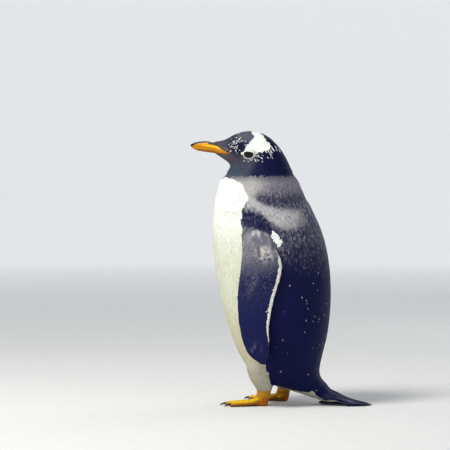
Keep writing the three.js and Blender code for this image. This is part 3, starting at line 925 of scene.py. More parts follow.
class Vanes:
    """Many vanes of one template, as arrays: paths, their up and side directions, half widths
    and the height of the shaft over the edges."""

    def __init__(self, stations, across, widths, keel):
        self.stations = np.asarray(stations, float)
        self.across = np.asarray(across, float)
        self.widths, self.keel = np.asarray(widths, float), np.asarray(keel, float)
        rows, columns = len(stations), len(across)
        self.faces, self.under = vane_faces(rows, columns)
        self.share = np.concatenate([[0], np.repeat(self.stations, columns), [1]])
        self.side = np.concatenate([[0], np.tile(self.across, rows), [0]])
        self.width = np.concatenate([[0], np.repeat(self.widths, columns), [0]])
        ridge = 1 - np.abs(self.side) ** 1.3
        self.lift = np.concatenate([[0], np.repeat(self.keel, columns), [0]]) * ridge

    def shape(self, root, tip, root_up, tip_up, half_width, thickness, height, rise=1.7):
        """Points, (vanes, points, 3), of vanes that climb from their roots to height over the
        skin under their tips, and bend with it."""
        s = self.share[None, :, None]
        chord = tip - root
        long = np.linalg.norm(chord, axis=1, keepdims=True)
        way = chord / np.maximum(long, 1e-9)
        middle_up = unit(root_up + tip_up)
        bulge = long / 8 * np.sum((tip_up - root_up) * way, axis=1, keepdims=True)
        base = root[:, None] + chord[:, None] * s + (middle_up * bulge)[:, None] * 4 * s * (1 - s)
        up = unit(root_up[:, None] * (1 - s) + tip_up[:, None] * s)
        climb = 1 - (1 - s) ** rise - 0.16 * smoothstep(0.7, 1.0, s)
        return self.laid(base + up * (height[:, None, None] * climb), up, half_width, thickness)

    def laid(self, base, up, half_width, thickness):
        """Points of vanes along given paths, (vanes, points, 3), with given up directions."""
        way = unit(base[:, -1:] - base[:, :1])
        across = unit(np.cross(up, np.broadcast_to(way, up.shape)))
        points = base + up * (thickness[:, None] * self.lift)[..., None]
        return points + across * (half_width[:, None] * self.width * self.side)[..., None]


def coat_object(name, points, template, colours, unwrap, slot, material, luck):
    """One piece of coat from vanes' points, (vanes, points, 3). unwrap is each root's place on
    the unwrapped skin, which its patch of the OFBake map takes."""
    count, each = points.shape[:2]
    faces = copies_of(template.faces, count, each)
    mesh = new_mesh(name, points.reshape(-1, 3), faces)
    tinted(mesh, colours.reshape(-1, 3))
    barbs = mesh.attributes.new("vane", "FLOAT_VECTOR", "POINT")
    place = np.zeros((count, each, 3), np.float32)
    place[..., 0], place[..., 1], place[..., 2] = template.side, template.share, luck[:, None]
    barbs.data.foreach_set("vector", place.ravel())
    low, high = unwrap.min(axis=0), unwrap.max(axis=0)
    corner = (unwrap - low) / np.maximum(high - low, 1e-9) * (1 - PATCH_SIZE)
    local = np.stack([(template.side + 1) / 2 * 0.46, template.share], axis=1)
    local = local[template.faces] + np.where(template.under, 0.54, 0.0)[:, None, None] * [1, 0]
    uv = corner[:, None, None] + PATCH_SIZE * local[None]
    layer = mesh.uv_layers.new(name="OFBake")
    layer.uv.foreach_set("vector", uv.astype(np.float32).ravel())
    mesh.shade_smooth()
    mesh.set_sharp_from_angle(angle=math.radians(50))
    mesh.materials.append(material)
    piece = new_object(name, mesh)
    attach(piece, "root")
    return piece


# ---- where the feathers stand ---------------------------------------------------------------


class Ground:
    """The surface that feathers stand on, the skin and the lids, with the part of the body that
    each face belongs to."""

    def __init__(self, skin_points, skin_triangles, lid_shapes):
        self.near = Nearest(*joined([(skin_points, skin_triangles)] + lid_shapes))
        self.on_skin = Nearest(skin_points, skin_triangles)
        middles = skin_points[skin_triangles].mean(axis=1)
        part = [parts_at(middles, ALL_FLESH)]
        part.append(np.full(sum(len(s[1]) for s in lid_shapes), "lid"))
        self.part = np.concatenate([p.astype("<U8") for p in part])


def spacing_at(places, part):
    """How far apart feathers stand, by the part of the body and how near the face they are."""
    z = places[:, 2]
    beyond, _ = outside_opening(places)
    from_bill = (places[:, 1] - FACE) / MM
    head = 0.72 + 0.26 * smoothstep(3, 22, from_bill) * smoothstep(1, 7, beyond / MM)
    head = head + 0.2 * smoothstep(28, 55, from_bill)
    trunk = 1.15 + 0.82 * smoothstep(HOOD_EDGE, HOOD_EDGE - 60 * MM, z)
    sizes = {"head": head, "lid": 0.7, "neck": trunk, "trunk": trunk, "leg": 1.6}
    sizes |= {"flipper": 1.14, "tail": 1.9, "foot": 1.75}
    widest = 2.4
    chosen = [size * np.ones(len(part)) for size in sizes.values()]
    return np.select([part == name for name in sizes], chosen, widest) * MM


def scattered(points, triangles, part, seed):
    """Places over faces at random, none nearer to its neighbours than the spacing there."""
    draw = np.random.default_rng(seed)
    corner = points[triangles]
    sides = corner[:, 1] - corner[:, 0], corner[:, 2] - corner[:, 0]
    area = np.linalg.norm(np.cross(*sides), axis=1) / 2
    tries = 3.2  # places tried on each square of the spacing
    wanted = area / spacing_at(corner.mean(axis=1), part) ** 2 * tries
    count = np.floor(wanted + draw.random(len(wanted))).astype(int)
    face = np.repeat(np.arange(len(triangles)), count)
    a, b = draw.random((2, len(face), 1))
    flip = a + b > 1
    a, b = np.where(flip, 1 - a, a), np.where(flip, 1 - b, b)
    spots = corner[face, 0] * (1 - a - b) + corner[face, 1] * a + corner[face, 2] * b
    order = draw.permutation(len(face))
    spots, face = spots[order], face[order]
    gap = spacing_at(spots, part[face]) * 1
    tree = tree_of(spots)
    kept = np.ones(len(spots), bool)
    for k in range(len(spots)):
        if kept[k]:
            for _, other, _ in tree.find_range(spots[k], gap[k]):
                kept[other] = other == k
    return spots[kept], face[kept]


def flipper_line(node):
    """From the flipper's root to its tip."""
    shape = SHAPES[node]
    low, high = corners(node)
    return Line([middle(shape, 2, z) for z in np.linspace(high[2] - 3 * MM, low[2] + 3 * MM, 9)])


FLIPPER_LINES = {node: flipper_line(node) for node in FLIPPERS}


def flow(places, normals, part):
    """The way feathers lie at each place, along the surface."""
    way = SPINE.near(places)[1]
    bib = smoothstep(432, 414, places[:, 2] / MM) * smoothstep(330, 380, places[:, 2] / MM)
    bib *= smoothstep(-48, -84, places[:, 1] / MM)
    way = unit(way * (1 - 0.6 * bib[:, None]) + bib[:, None] * [0, -0.85, -0.5])
    leg = part == "leg"
    way[leg] = [0, 0.12, -1]
    for node, line in FLIPPER_LINES.items():
        here = (part == "flipper") & (places[:, 0] * SIDES[node.split("_")[1]] > 0)
        if here.any():
            way[here] = unit(line.near(places[here])[1] + [0, 0.22, 0])
    sway = noise(places, 14 * MM, 17) - 0.5
    way = way + 0.25 * sway[:, None] * np.cross(normals, way)
    beyond, turn = outside_opening(places)
    for side, sign in SIDES.items():
        _, _, front, up = eye_axes(side)
        close = smoothstep(5.5 * MM, 1 * MM, beyond) * (places[:, 0] * sign > 0)
        radial = unit(np.cos(turn)[:, None] * front + np.sin(turn)[:, None] * up)
        inwards = np.minimum(dot(way, radial), 0)
        way = way - radial * inwards * close[:, None]
    return unit(way - normals * dot(way, normals))


# Edges of the bare corner of the mouth, in mm: each point's y and height.
LORES_EDGE = np.array([(-134, 467), (-130.8, 466.4), (-121.6, 465), (-114.7, 462.2), (-105.5, 456.6)]
                      + [(-96.3, 453), (-89.7, 450.6)]).T
CHIN_EDGE = np.array([(-128, 444), (-126, 449.6), (-98, 449.6), (-89.7, 450)]).T


def gape_edges(y):
    """The plumage of the lores over the bare corner of the mouth, and of the chin under it."""
    return np.interp(y, *LORES_EDGE), np.interp(y, *CHIN_EDGE)


def in_gape(places):
    """Where the bare corner of the mouth runs back over the cheek."""
    y, z = places[:, 1] / MM, places[:, 2] / MM
    top, low = gape_edges(y)
    return (z < top) & (z > low) & (y < -90) & (y > -132)


def bare(places, part, ground):
    """Places with no feathers: feet, the eye and the corner of the mouth, what lies under the
    lids or inside the skin, and the tail."""
    beyond, _ = outside_opening(places)
    gone = (part == "foot") | (beyond < 0.45 * MM) | in_gape(places)
    gone |= (part == "tail") & (places[:, 1] > TAIL_LOW[1] + 46 * MM)
    centres = np.where(places[:, :1] > 0, eye_axes("left")[0], eye_axes("right")[0])
    eye_gap = np.linalg.norm(places - centres, axis=1)
    gone |= (part == "head") & (eye_gap < BALL + CORNEA) & (beyond < 4 * MM)
    lid = np.flatnonzero(part == "lid")
    if len(lid):
        spots, normals, _ = ground.on_skin(places[lid])
        gone[lid] |= (dot(places[lid] - spots, normals)[:, 0] < 0.05 * MM)
    gone |= (part == "head") & (places[:, 1] < LORES + 1.0 * MM)
    return gone


def feather_size(places, part, luck):
    """Length, half width, thickness and height of the tip over the skin, in metres."""
    z, y = places[:, 2] / MM, places[:, 1] / MM
    beyond, _ = outside_opening(places)
    from_bill = y - FACE / MM
    body = part_of_body(part)
    down = smoothstep(HOOD_EDGE / MM, HOOD_EDGE / MM - 70, z)
    long = 7 + 6 * down
    long = long + 8 * bump(y, TAIL_LOW[1] / MM, 14) * (z < 60)
    high = 1.42 + 0.2 * down
    head_long = 1.9 + 2.1 * smoothstep(2, 22, from_bill) + 1.6 * smoothstep(25, 60, from_bill)
    head_long *= 0.42 + 0.58 * smoothstep(0.5, 7, beyond / MM)
    head_high = 0.42 + 0.42 * smoothstep(3, 20, from_bill) * smoothstep(0.5, 5, beyond / MM)
    lengths = {"body": long, "leg": 8.0, "head": head_long, "lid": 1.5, "flipper": 2.9, "tail": 17.0}
    heights = {"body": high, "leg": 1.25, "head": head_high, "lid": 0.28, "flipper": 0.36, "tail": 2.5}
    thick = {"body": 0.17, "leg": 0.16, "head": 0.10, "lid": 0.08, "flipper": 0.10, "tail": 0.3}
    ones = np.ones(len(places))
    length, height, thickness = (
        np.select([body == name for name in table], [v * ones for v in table.values()], 0)
        for table in (lengths, heights, thick)
    )
    length = length * (0.85 + 0.3 * luck)
    height = height * (0.9 + 0.14 * ((luck * 7.31) % 1))
    width = spacing_at(places, part) / MM * 0.77 * (0.9 + 0.2 * ((luck * 3.77) % 1))
    return length * MM, width * MM, thickness * MM, height * MM


def part_of_body(part):
    """The parts that share one length and height of feather under one name."""
    return np.where(np.isin(part, ["trunk", "neck"]), "body", part)


# Rows of points along a vane, places across it, half widths and the shaft's height at each row.
LONG_VANE = Vanes((0.26, 0.66, 0.92), (1, 0, -1), (0.78, 1, 0.6), (1, 1, 0.6))
SHORT_VANE = Vanes((0.32, 0.82), (1, 0, -1), (0.85, 0.88), (1, 0.8))


def body_unwrap(places):
    """Each place on the unrolled skin: round the body from breast to back, and along it."""
    share, tangent, centre = SPINE.near(places)
    offset = places - centre
    breast = unit(np.cross(tangent, [[1, 0, 0]]))
    breast *= np.where(breast[:, 1:2] * -1 - breast[:, 2:3] * 0.3 > 0, 1, -1)
    round_it = np.arctan2(np.abs(offset[:, 0]), np.sum(offset * breast, axis=1))
    return np.stack([round_it, share], axis=1)


def flipper_unwrap(places, normals):
    """Each place on the flat flipper, its inner face unrolled beyond its outer one."""
    along, across, _ = flipper_place(places)
    outer = normals[:, 0] * np.sign(places[:, 0]) > 0
    return np.stack([np.where(outer, across, 2.2 + across), along], axis=1)


def pieces_of_coat(places, part, colour):
    """Which piece each feather belongs to."""
    side = np.where(places[:, 0] > 0, "left", "right")
    body = np.where(colour.mean(axis=1) > 0.22, "front_", "back_")
    name = np.where(part == "flipper", "flipper_", np.where(part == "leg", "leg_", body))
    name = np.where(np.isin(part, ["head", "lid"]), "hood_", name)
    return np.char.add(np.char.add("coat_", name), side)


COAT_SLOTS = {"hood": "hood_plumage", "back": "dark_plumage", "front": "white_plumage"}
COAT_SLOTS |= {"leg": "white_plumage", "flipper": "flipper_plumage"}


def grow_coat(ground, material):
    """Stands a feather at each place, lays it along the skin and joins them into pieces."""
    near = ground.near
    keep = ground.part != "foot"
    triangles, face_part = near.triangles[keep], ground.part[keep]
    roots, face = scattered(near.points, triangles, face_part, 5)
    part = face_part[face]
    gone = bare(roots, part, ground)
    roots, part, face = roots[~gone], part[~gone], np.flatnonzero(keep)[face[~gone]]
    luck = np.random.default_rng(8).random(len(roots))
    normals = near.smooth_normals(roots, face)
    way = flow(roots, normals, part)
    length, width, thickness, height = feather_size(roots, part, luck)
    full = 0.9 * length
    spots, tip_up, tip_face = near(roots + way * length[:, None])
    beyond, _ = outside_opening(spots)
    strayed = np.linalg.norm(roots + way * length[:, None] - spots, axis=1) > 0.3 * length
    strayed &= (np.abs(roots[:, 2] - FLIPPER_TOP + 8 * MM) < 22 * MM) & (np.abs(roots[:, 0]) > 66 * MM)
    blocked = (beyond < 0.5 * MM) | in_gape(spots) | (ground.part[tip_face] == "foot")
    for _ in range(3):
        again = np.flatnonzero(blocked)
        length[again] *= 0.6
        spots[again], tip_up[again], tip_face[again] = near(roots[again] + way[again] * length[again, None])
        beyond, _ = outside_opening(spots[again])
        blocked[again] = (beyond < 0.5 * MM) | in_gape(spots[again])
    drape = strayed & (part != "flipper")  # hangs over the flipper's top
    spots[drape] = roots[drape] + way[drape] * full[drape, None]
    tip_up[drape] = normals[drape]
    fits = ~strayed | drape
    roots, spots, part, luck, normals, tip_up = (v[fits] for v in (roots, spots, part, luck, normals, tip_up))
    width, thickness, height = (v[fits] for v in (width, thickness, height))
    shown = roots + (spots - roots) * SHOWN
    colour = plumage(shown, normals, part, luck)
    name = pieces_of_coat(roots, part, colour)
    body = np.isin(part_of_body(part), ["body", "leg", "tail"])
    for piece in np.unique(name):
        mine = name == piece
        long = body[mine].mean() > 0.5
        template = LONG_VANE if long else SHORT_VANE
        sunk = roots[mine] - normals[mine] * SUNK
        points = template.shape(
            sunk, spots[mine], normals[mine], tip_up[mine], width[mine], thickness[mine], height[mine]
        )
        if "flipper" in piece:
            unwrap = flipper_unwrap(roots[mine], normals[mine])
        else:
            unwrap = body_unwrap(roots[mine])
        slot = COAT_SLOTS[piece.split("_")[1]]
        tint = np.repeat(colour[mine, None], len(template.share), axis=1)
        if "back" in piece:
            flecked = (luck[mine] < 0.008) & (roots[mine, 2] < 300 * MM)
            tint[np.ix_(flecked, template.share > 0.9)] = PLUMAGE["white"] * 0.8
        coat_object(piece, points, template, tint, unwrap, slot, material, luck[mine])


# ---- bill and claws -------------------------------------------------------------------------


def mouth_places():
    """The tops of the lower bill's slices, in mm: places along the bill and their heights."""
    low, high = corners("bill_lower")
    levels = np.linspace(low[1] + 0.2 * MM, high[1] - 0.2 * MM, 24)
    return np.array([[y, slice_of(SHAPES["bill_lower"], 1, y)[:, 2].max()] for y in levels]) / MM


MOUTH_LINE = mouth_places()


def mouth_line(y):
    """The height of the line between the closed bills."""
    return np.interp(y / MM, MOUTH_LINE[:, 0], MOUTH_LINE[:, 1]) * MM


def bill_shape(node, ground):
    """Smooth rings along the solid, with the corner of the mouth spread over the cheek."""
    low, high = corners(node)
    solid = Nearest(*SHAPES[node])
    steps, sides = 64, 72
    shares = np.linspace(0, 1, steps) ** 1.6
    levels = low[1] + 0.1 * MM + (high[1] - low[1] - 0.3 * MM) * shares
    turns = np.linspace(0, 2 * math.pi, sides, endpoint=False)
    rows = []
    for y in levels:
        centre = middle(SHAPES[node], 1, y) * [0, 1, 1]
        ring = np.array([solid.hit(centre, (math.cos(t), 0, math.sin(t)), centre) for t in turns])
        rounding = math.sqrt(1 - (1 - min((y - low[1]) / (1.8 * MM), 1)) ** 2)
        rows.append(centre + (ring - centre) * [rounding, 1, 0.35 + 0.65 * rounding])
    points = np.array(rows).reshape(-1, 3)
    triangles = grid_faces(steps, sides, True)
    points = relax(points, edges_of(triangles), 1, 5)
    tip = np.array([0, low[1], points[:sides, 2].mean()])
    root = np.array([0, high[1], points[-sides:, 2].mean()])
    tip_hub, root_hub = len(points), len(points) + 1
    caps = [cap(tip_hub, 0, sides, ahead_first=True), cap(root_hub, (steps - 1) * sides, sides)]
    points = np.concatenate([points, [tip, root]])
    triangles = np.concatenate([triangles] + caps)
    over = (points[:, 2] - mouth_line(points[:, 1])) / MM  # the halves meet along the mouth
    if node == "bill_lower":
        points[:, 2] += 0.45 * MM * smoothstep(-1.6, -0.2, over)
    else:
        points[:, 2] -= 0.2 * MM * smoothstep(1.6, 0.2, over)
    points = spread_over_cheek(points, ground)
    if node == "bill_upper":
        feathered = smoothstep(0.2, 1.6, points[:, 2] / MM - gape_edges(points[:, 1] / MM)[0])
        feathered *= smoothstep(LORES - 3.5 * MM, LORES + 1 * MM, points[:, 1])
        core = points * [0, 1, 0] + [[0, 0, 1]] * (mouth_line(points[:, 1])[:, None] + 2 * MM)
        points -= unit(points - core) * (1.7 * MM * feathered)[:, None]
    return points, outward(points, triangles)


def spread_over_cheek(points, ground):
    """Carries the horn at the corner of the mouth out over the skin of the cheek."""
    points = points.copy()
    y, z = points[:, 1] / MM, points[:, 2] / MM
    top, low = gape_edges(y)
    mask = smoothstep(0, 1.6, top + 0.9 - z) * smoothstep(0, 1.6, z - low + 0.9) * smoothstep(-126, -114, y)
    for k in np.flatnonzero(mask > 0.01):
        x = points[k, 0]
        if abs(x) < 4 * MM:
            continue
        sign = 1 if x > 0 else -1
        spot = ground.on_skin.hit((sign * 60 * MM, points[k, 1], points[k, 2]), (-sign, 0, 0))
        if spot is not None:
            wanted = max(abs(spot[0]) + 0.5 * MM, abs(x))
            points[k, 0] = sign * (abs(x) + (wanted - abs(x)) * mask[k])
    return points


def bill_colour(points, node):
    """Orange horn, with a yellow stripe of painted highlight and a black ridge on the upper half, and
    painted shade under the lower half.
    """
    y, z = points[:, 1] / MM, points[:, 2] / MM
    mouth = mouth_line(points[:, 1]) / MM
    over = z - mouth
    length = smoothstep(BILL_TIP / MM, GAPE / MM, y)
    grain = noise(points, np.array([2, 9, 1.2]) * MM, 41)
    orange = blend(rgb(184, 104, 4), rgb(206, 142, 4), grain)
    if node == "bill_upper":
        # Painted highlight: a bright yellow stripe along the side of the upper bill.
        highlight_band = bump(over, 2.6, 2.2) * smoothstep(0.12, 0.4, length)
        colour = blend(orange, rgb(244, 190, 4), highlight_band)
        colour = blend(colour, rgb(96, 32, 8), 0.8 * smoothstep(0.9, 0.1, over))
        top = culmen_height(points) / MM
        back = (y - BILL_TIP / MM) + 1.5 * (grain - 0.5)
        black = np.interp(back, [0, 2, 6, 12, 20, 28, 36, 72], [9, 5.2, 4.6, 3.8, 2.8, 2.2, 1.6, 1.2])
        dark = smoothstep(black + 0.6, black - 0.5, top - z + 0.8 * (grain - 0.5))
        colour = blend(colour, rgb(15, 12, 15) * (0.7 + 0.6 * grain[:, None]), dark)
        feathered = smoothstep(-0.4, 0.8, z - gape_edges(y)[0] + 1.2 * (grain - 0.5))
        feathered = feathered * smoothstep(-136, -130, y)
        return blend(colour, PLUMAGE["lores"] * 0.4, feathered)
    # Painted shade: the lower bill darker and browner towards its underside.
    colour = blend(orange, rgb(150, 84, 10), smoothstep(-2, -8, over))
    colour = blend(colour, rgb(104, 36, 8), 0.6 * smoothstep(-0.8, 0, over))
    return blend(colour, rgb(70, 38, 16), smoothstep(3.5, 1, y - BILL_TIP / MM))


def culmen_height(points):
    """The height of the top of the bill at each place along it."""
    order = np.argsort(points[:, 1])
    y, z = points[order, 1], points[order, 2]
    levels = np.linspace(y[0], y[-1], 60)
    tops = [z[(y > level - 1.2 * MM) & (y < level + 1.2 * MM)].max() for level in levels]
    return np.interp(points[:, 1], levels, tops)


def claw_shape(node):
    """The solid with its edges taken off."""
    points, triangles = rebuilt([SHAPES[node]], 0.38 * MM)
    return relax(points, edges_of(triangles), 1, 6), triangles


def claw_colour(points, node):
    """Dark horn, darkest at the point."""
    low = corners(node)[0]
    tip = smoothstep(low[1] + 7 * MM, low[1] + 1 * MM, points[:, 1])
    grain = noise(points, np.array([1, 5, 1]) * MM, 43)
    return blend(rgb(52, 42, 38) * (0.6 + 0.8 * grain[:, None]), rgb(24, 19, 18), tip)


# ---- tail -----------------------------------------------------------------------------------


def tail_feathers():
    """Long stiff feathers fanned through the tail's solid in three layers, the middle ones
    uppermost in each, the lowest layer resting near the floor."""
    solid = Nearest(*SHAPES["tail"])
    rows = 22
    stations = np.linspace(0, 1, rows + 2)[1:-1]
    widths = np.clip(1.15 * (1 - ((stations - 0.45) / 0.60) ** 4), 0.2, 1)
    template = Vanes(stations, (1, 0.82, 0.12, 0, -0.12, -0.82, -1), widths, np.ones(rows))
    template.lift = np.concatenate([[0.2], np.tile([0.15, 0.5, 0.55, 1.7, 0.55, 0.5, 0.15], rows), [0.2]])
    length = TAIL_HIGH[1] - TAIL_LOW[1]
    draw = np.random.default_rng(21)
    s = template.share
    base, up, half_width, place = [], [], [], []
    for layer, (count, depth) in enumerate([(17, 0.03), (15, 0.42), (15, 0.8)]):
        for k in range(count):
            fan = (k / (count - 1) * 2 - 1) * (1 - 0.05 * layer)
            reach = length * (1 - 0.25 * abs(fan) ** 2.2 - 0.06 * draw.random()) - 1 * MM
            x = fan * TAIL_HIGH[0] * 0.87 * (0.42 + 0.58 * s**1.1)
            y = TAIL_LOW[1] + 14 * MM + (reach - 14 * MM) * s
            top, low = (
                [solid.hit((a * 0.93, b, start), (0, 0, way)) for a, b in zip(x, y)]
                for start, way in ((0.1, -1), (-0.1, 1))
            )
            known = np.array([t is not None and u is not None for t, u in zip(top, low)])
            top, low = (
                np.interp(s, s[known], [spot[2] for spot, k in zip(side, known) if k]) for side in (top, low)
            )
            share = depth + 0.16 * abs(fan)
            z = top + (low - top) * share - (0.6 + 3.4 * smoothstep(0.42, 0.12, s)) * MM
            base.append(np.stack([x, y, np.maximum(z, (1.3 - 0.4 * layer) * MM)], axis=1))
            up.append(np.tile(unit(np.array([0.3 * fan, 0, 1])), (len(s), 1)))
            half_width.append((3.7 - 0.6 * abs(fan)) * MM)
            place.append([fan, layer])
    base = np.array(base)
    points = template.laid(base, np.array(up), np.array(half_width), np.full(len(base), 0.38 * MM))
    luck = draw.random(len(base))
    streak = noise(points.reshape(-1, 3), np.array([0.9, 26, 4]) * MM, 51).reshape(points.shape[:2])
    edge = np.broadcast_to(np.abs(template.side), streak.shape)
    colour = blend(PLUMAGE["tail"], rgb(112, 116, 140), 0.7 * smoothstep(0.5, 0.85, streak))
    frayed = 0.5 * smoothstep(0.8, 1.0, edge) * smoothstep(0.3, 0.7, streak)
    colour = blend(colour, rgb(150, 150, 160), frayed)
    colour = blend(colour, rgb(16, 17, 40), 0.6 * smoothstep(0.2, 0.02, edge))
    return points, template, colour * (0.75 + 0.5 * luck[:, None, None]), np.array(place), luck


# ---- materials ------------------------------------------------------------------------------


class Nodes:
    """A material's nodes, added by short calls that return their first output."""

    def __init__(self, name):
        self.material = bpy.data.materials.new(name)
        self.material.use_nodes = True
        self.tree = self.material.node_tree
        self.shader = self.tree.nodes["Principled BSDF"]

    def add(self, kind, links=(), **settings):
        node = self.tree.nodes.new(kind)
        for setting, value in settings.items():
            setattr(node, setting, value)
        for key, value in dict(links).items():
            self.put(node.inputs[key], value)
        return node

    def put(self, socket, value):
        if isinstance(value, bpy.types.NodeSocket):
            self.tree.links.new(value, socket)
        else:
            socket.default_value = value

    def set(self, **values):
        for name, value in values.items():
            self.put(self.shader.inputs[name.replace("_", " ")], value)

    def attribute(self, name):
        return self.add("ShaderNodeAttribute", attribute_name=name)

    def math(self, operation, *values):
        return self.add("ShaderNodeMath", dict(enumerate(values)), operation=operation).outputs[0]

    def place(self):
        return self.add("ShaderNodeTexCoord").outputs["Object"]

    def stretched(self, scale):
        return self.add("ShaderNodeMapping", {"Vector": self.place(), "Scale": scale}).outputs[0]

    def noise(self, where, scale, detail=3.0):
        return self.add("ShaderNodeTexNoise", {"Vector": where, "Scale": scale, "Detail": detail}).outputs[0]

    def span(self, value, low, high, to_low, to_high):
        links = {"Value": value, "From Min": low, "From Max": high, "To Min": to_low, "To Max": to_high}
        return self.add("ShaderNodeMapRange", links).outputs[0]

    def graded(self, pattern, low, high):
        """low to high, as a noise runs over most of its range."""
        return self.span(pattern, 0.3, 0.7, low, high)

    def tint(self):
        """The colour that tinted gave the mesh."""
        return self.attribute("tint").outputs["Color"]

    def scaled(self, colour, amount):
        """A colour made lighter or darker by a number."""
        return self.add("ShaderNodeVectorMath", {0: colour, "Scale": amount}, operation="SCALE").outputs[0]

    def bump(self, height, distance, strength=1.0, under=None):
        links = {"Height": height, "Distance": distance, "Strength": strength}
        if under:
            links["Normal"] = under
        return self.add("ShaderNodeBump", links).outputs[0]


def vane_material():
    """Feathers: barbs slant back from a fine shaft, and each vane is a little darker under the one
    before it than at its tip, partly a greyer base and partly painted shade."""
    n = Nodes("feather")
    tint = n.tint()
    x, s, luck = n.add("ShaderNodeSeparateXYZ", {0: n.attribute("vane").outputs["Vector"]}).outputs[:3]
    side = n.math("ABSOLUTE", x)
    slant = n.math("MULTIPLY_ADD", side, -2.2, n.math("MULTIPLY", s, 9.0))
    barbs = n.math("SINE", n.math("MULTIPLY", slant, 12.0))
    shaft = n.span(side, 0.03, 0.12, 1.0, 0.0)
    # Darker towards the covered root: partly a greyer base, partly painted shade.
    light = n.span(s, 0.25, 1.0, 0.84, 1.08)
    light = n.math("MULTIPLY_ADD", barbs, 0.045, light)
    light = n.math("MULTIPLY_ADD", shaft, -0.10, light)
    light = n.math("MULTIPLY", light, n.span(luck, 0.0, 1.0, 0.92, 1.08))
    n.set(Base_Color=n.scaled(tint, light))
    n.set(Roughness=n.graded(n.noise(n.place(), 900.0), 0.46, 0.62))
    n.set(Specular_IOR_Level=0.1, Specular_Tint=(0.7, 0.8, 1.0, 1.0))
    n.set(Sheen_Weight=0.02, Sheen_Roughness=0.35, Sheen_Tint=(0.7, 0.8, 1.0, 1.0))
    n.set(Normal=n.bump(barbs, 0.00003, 0.5))
    return n.material


def down_material():
    """The skin under the feathers, with the same markings, matt and finely grained."""
    n = Nodes("down")
    grain = n.noise(n.place(), 1400.0, 4.0)
    n.set(Base_Color=n.scaled(n.tint(), n.graded(grain, 0.7, 1.0)))
    n.set(Roughness=n.graded(grain, 0.8, 0.95), Specular_IOR_Level=0.2)
    n.set(Normal=n.bump(grain, 0.0003))
    return n.material


def foot_material():
    """Leathery skin in small plates, with a slight gloss on them."""
    n = Nodes("foot_skin")
    cells = n.add("ShaderNodeTexVoronoi", {"Vector": n.place(), "Scale": 760.0}, feature="DISTANCE_TO_EDGE")
    plates = n.span(cells.outputs["Distance"], 0.0, 0.16, 0.0, 1.0)
    grain = n.noise(n.place(), 1900.0, 4.0)
    light = n.math("MULTIPLY", n.span(plates, 0.0, 1.0, 0.74, 1.03), n.graded(grain, 0.9, 1.08))
    n.set(Base_Color=n.scaled(n.tint(), light))
    n.set(Roughness=n.graded(grain, 0.42, 0.6), Specular_IOR_Level=0.2)
    fine = n.bump(grain, 0.00012, 0.7)
    n.set(Normal=n.bump(plates, 0.00022, 0.8, fine))
    return n.material


def horn_material(name, rough, length_wise, gloss):
    """Horn with fine streaks along it, from the tint attribute."""
    n = Nodes(name)
    streaks = n.noise(n.stretched(length_wise), 1.0, 5.0)
    pores = n.noise(n.place(), 2600.0, 2.0)
    light = n.math("MULTIPLY", n.graded(streaks, 0.88, 1.1), n.graded(pores, 0.95, 1.04))
    n.set(Base_Color=n.scaled(n.tint(), light))
    n.set(Roughness=n.graded(streaks, rough - 0.06, rough + 0.08))
    n.set(Specular_IOR_Level=0.16, Coat_Weight=gloss, Coat_Roughness=0.2)
    n.set(Normal=n.bump(streaks, 0.00012, 0.5, n.bump(pores, 0.00004, 0.4)))
    return n.material


def eye_material():
    """A dark, glossy ball."""
    n = Nodes("eye")
    fibres = n.noise(n.place(), 1800.0, 3.0)
    n.set(Base_Color=n.scaled(n.tint(), n.graded(fibres, 0.75, 1.2)))
    n.set(Roughness=0.18, Specular_IOR_Level=0.12, Coat_Weight=0.22, Coat_Roughness=0.02)
    return n.material


def lid_material():
    """Thin bare skin, dark along the rim."""
    n = Nodes("lid")
    grain = n.noise(n.place(), 1600.0, 4.0)
    n.set(Base_Color=n.scaled(n.tint(), n.graded(grain, 0.85, 1.05)))
    n.set(Roughness=0.5, Specular_IOR_Level=0.35, Normal=n.bump(grain, 0.0001, 0.6))
    return n.material


# ---- pieces ---------------------------------------------------------------------------------


def solid_piece(name, points, triangles, colours, material, replaces=()):
    mesh = new_mesh(name, points, triangles)
    tinted(mesh, colours)
    mesh.shade_smooth()
    mesh.set_sharp_from_angle(angle=math.radians(60))
    mesh.materials.append(material)
    piece = new_object(name, mesh)
    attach(piece, "root")
    if replaces:
        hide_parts(*replaces)
    return piece


def foot_colour(points, normals):
    """Bright yellow on top of the toes, as painted light from above on orange skin, orange and brown
    on the ankle, sides and sole, and painted shade in the ankle's folds.
    """
    x, y, z = points.T / MM
    blotch = noise(points, 7 * MM, 61)
    fine = noise(points, 1.5 * MM, 62)
    # Painted light from above: the skin turns yellow where it faces up.
    top = smoothstep(0.1, 0.65, normals[:, 2] + 0.35 * (blotch - 0.5))
    colour = blend(rgb(168, 98, 6), rgb(232, 186, 2), top)
    ankle = smoothstep(11, 22, z + 6 * (blotch - 0.5))
    colour = blend(colour, blend(rgb(186, 122, 14), rgb(212, 160, 34), fine), ankle)
    # Painted shade in the slanting folds round the ankle.
    slant = (z + 0.55 * y + 0.25 * np.abs(x)) * 2 * math.pi / ANKLE_FOLDS
    shaded_crease = smoothstep(0.4, 0.8, np.sin(slant)) * smoothstep(7, 13, z)
    colour = blend(colour, rgb(140, 84, 28), 0.5 * shaded_crease)
    sole = smoothstep(-0.1, -0.7, normals[:, 2]) * smoothstep(6, 2, z)
    return blend(colour, rgb(70, 52, 38), sole) * (0.88 + 0.24 * fine[:, None])


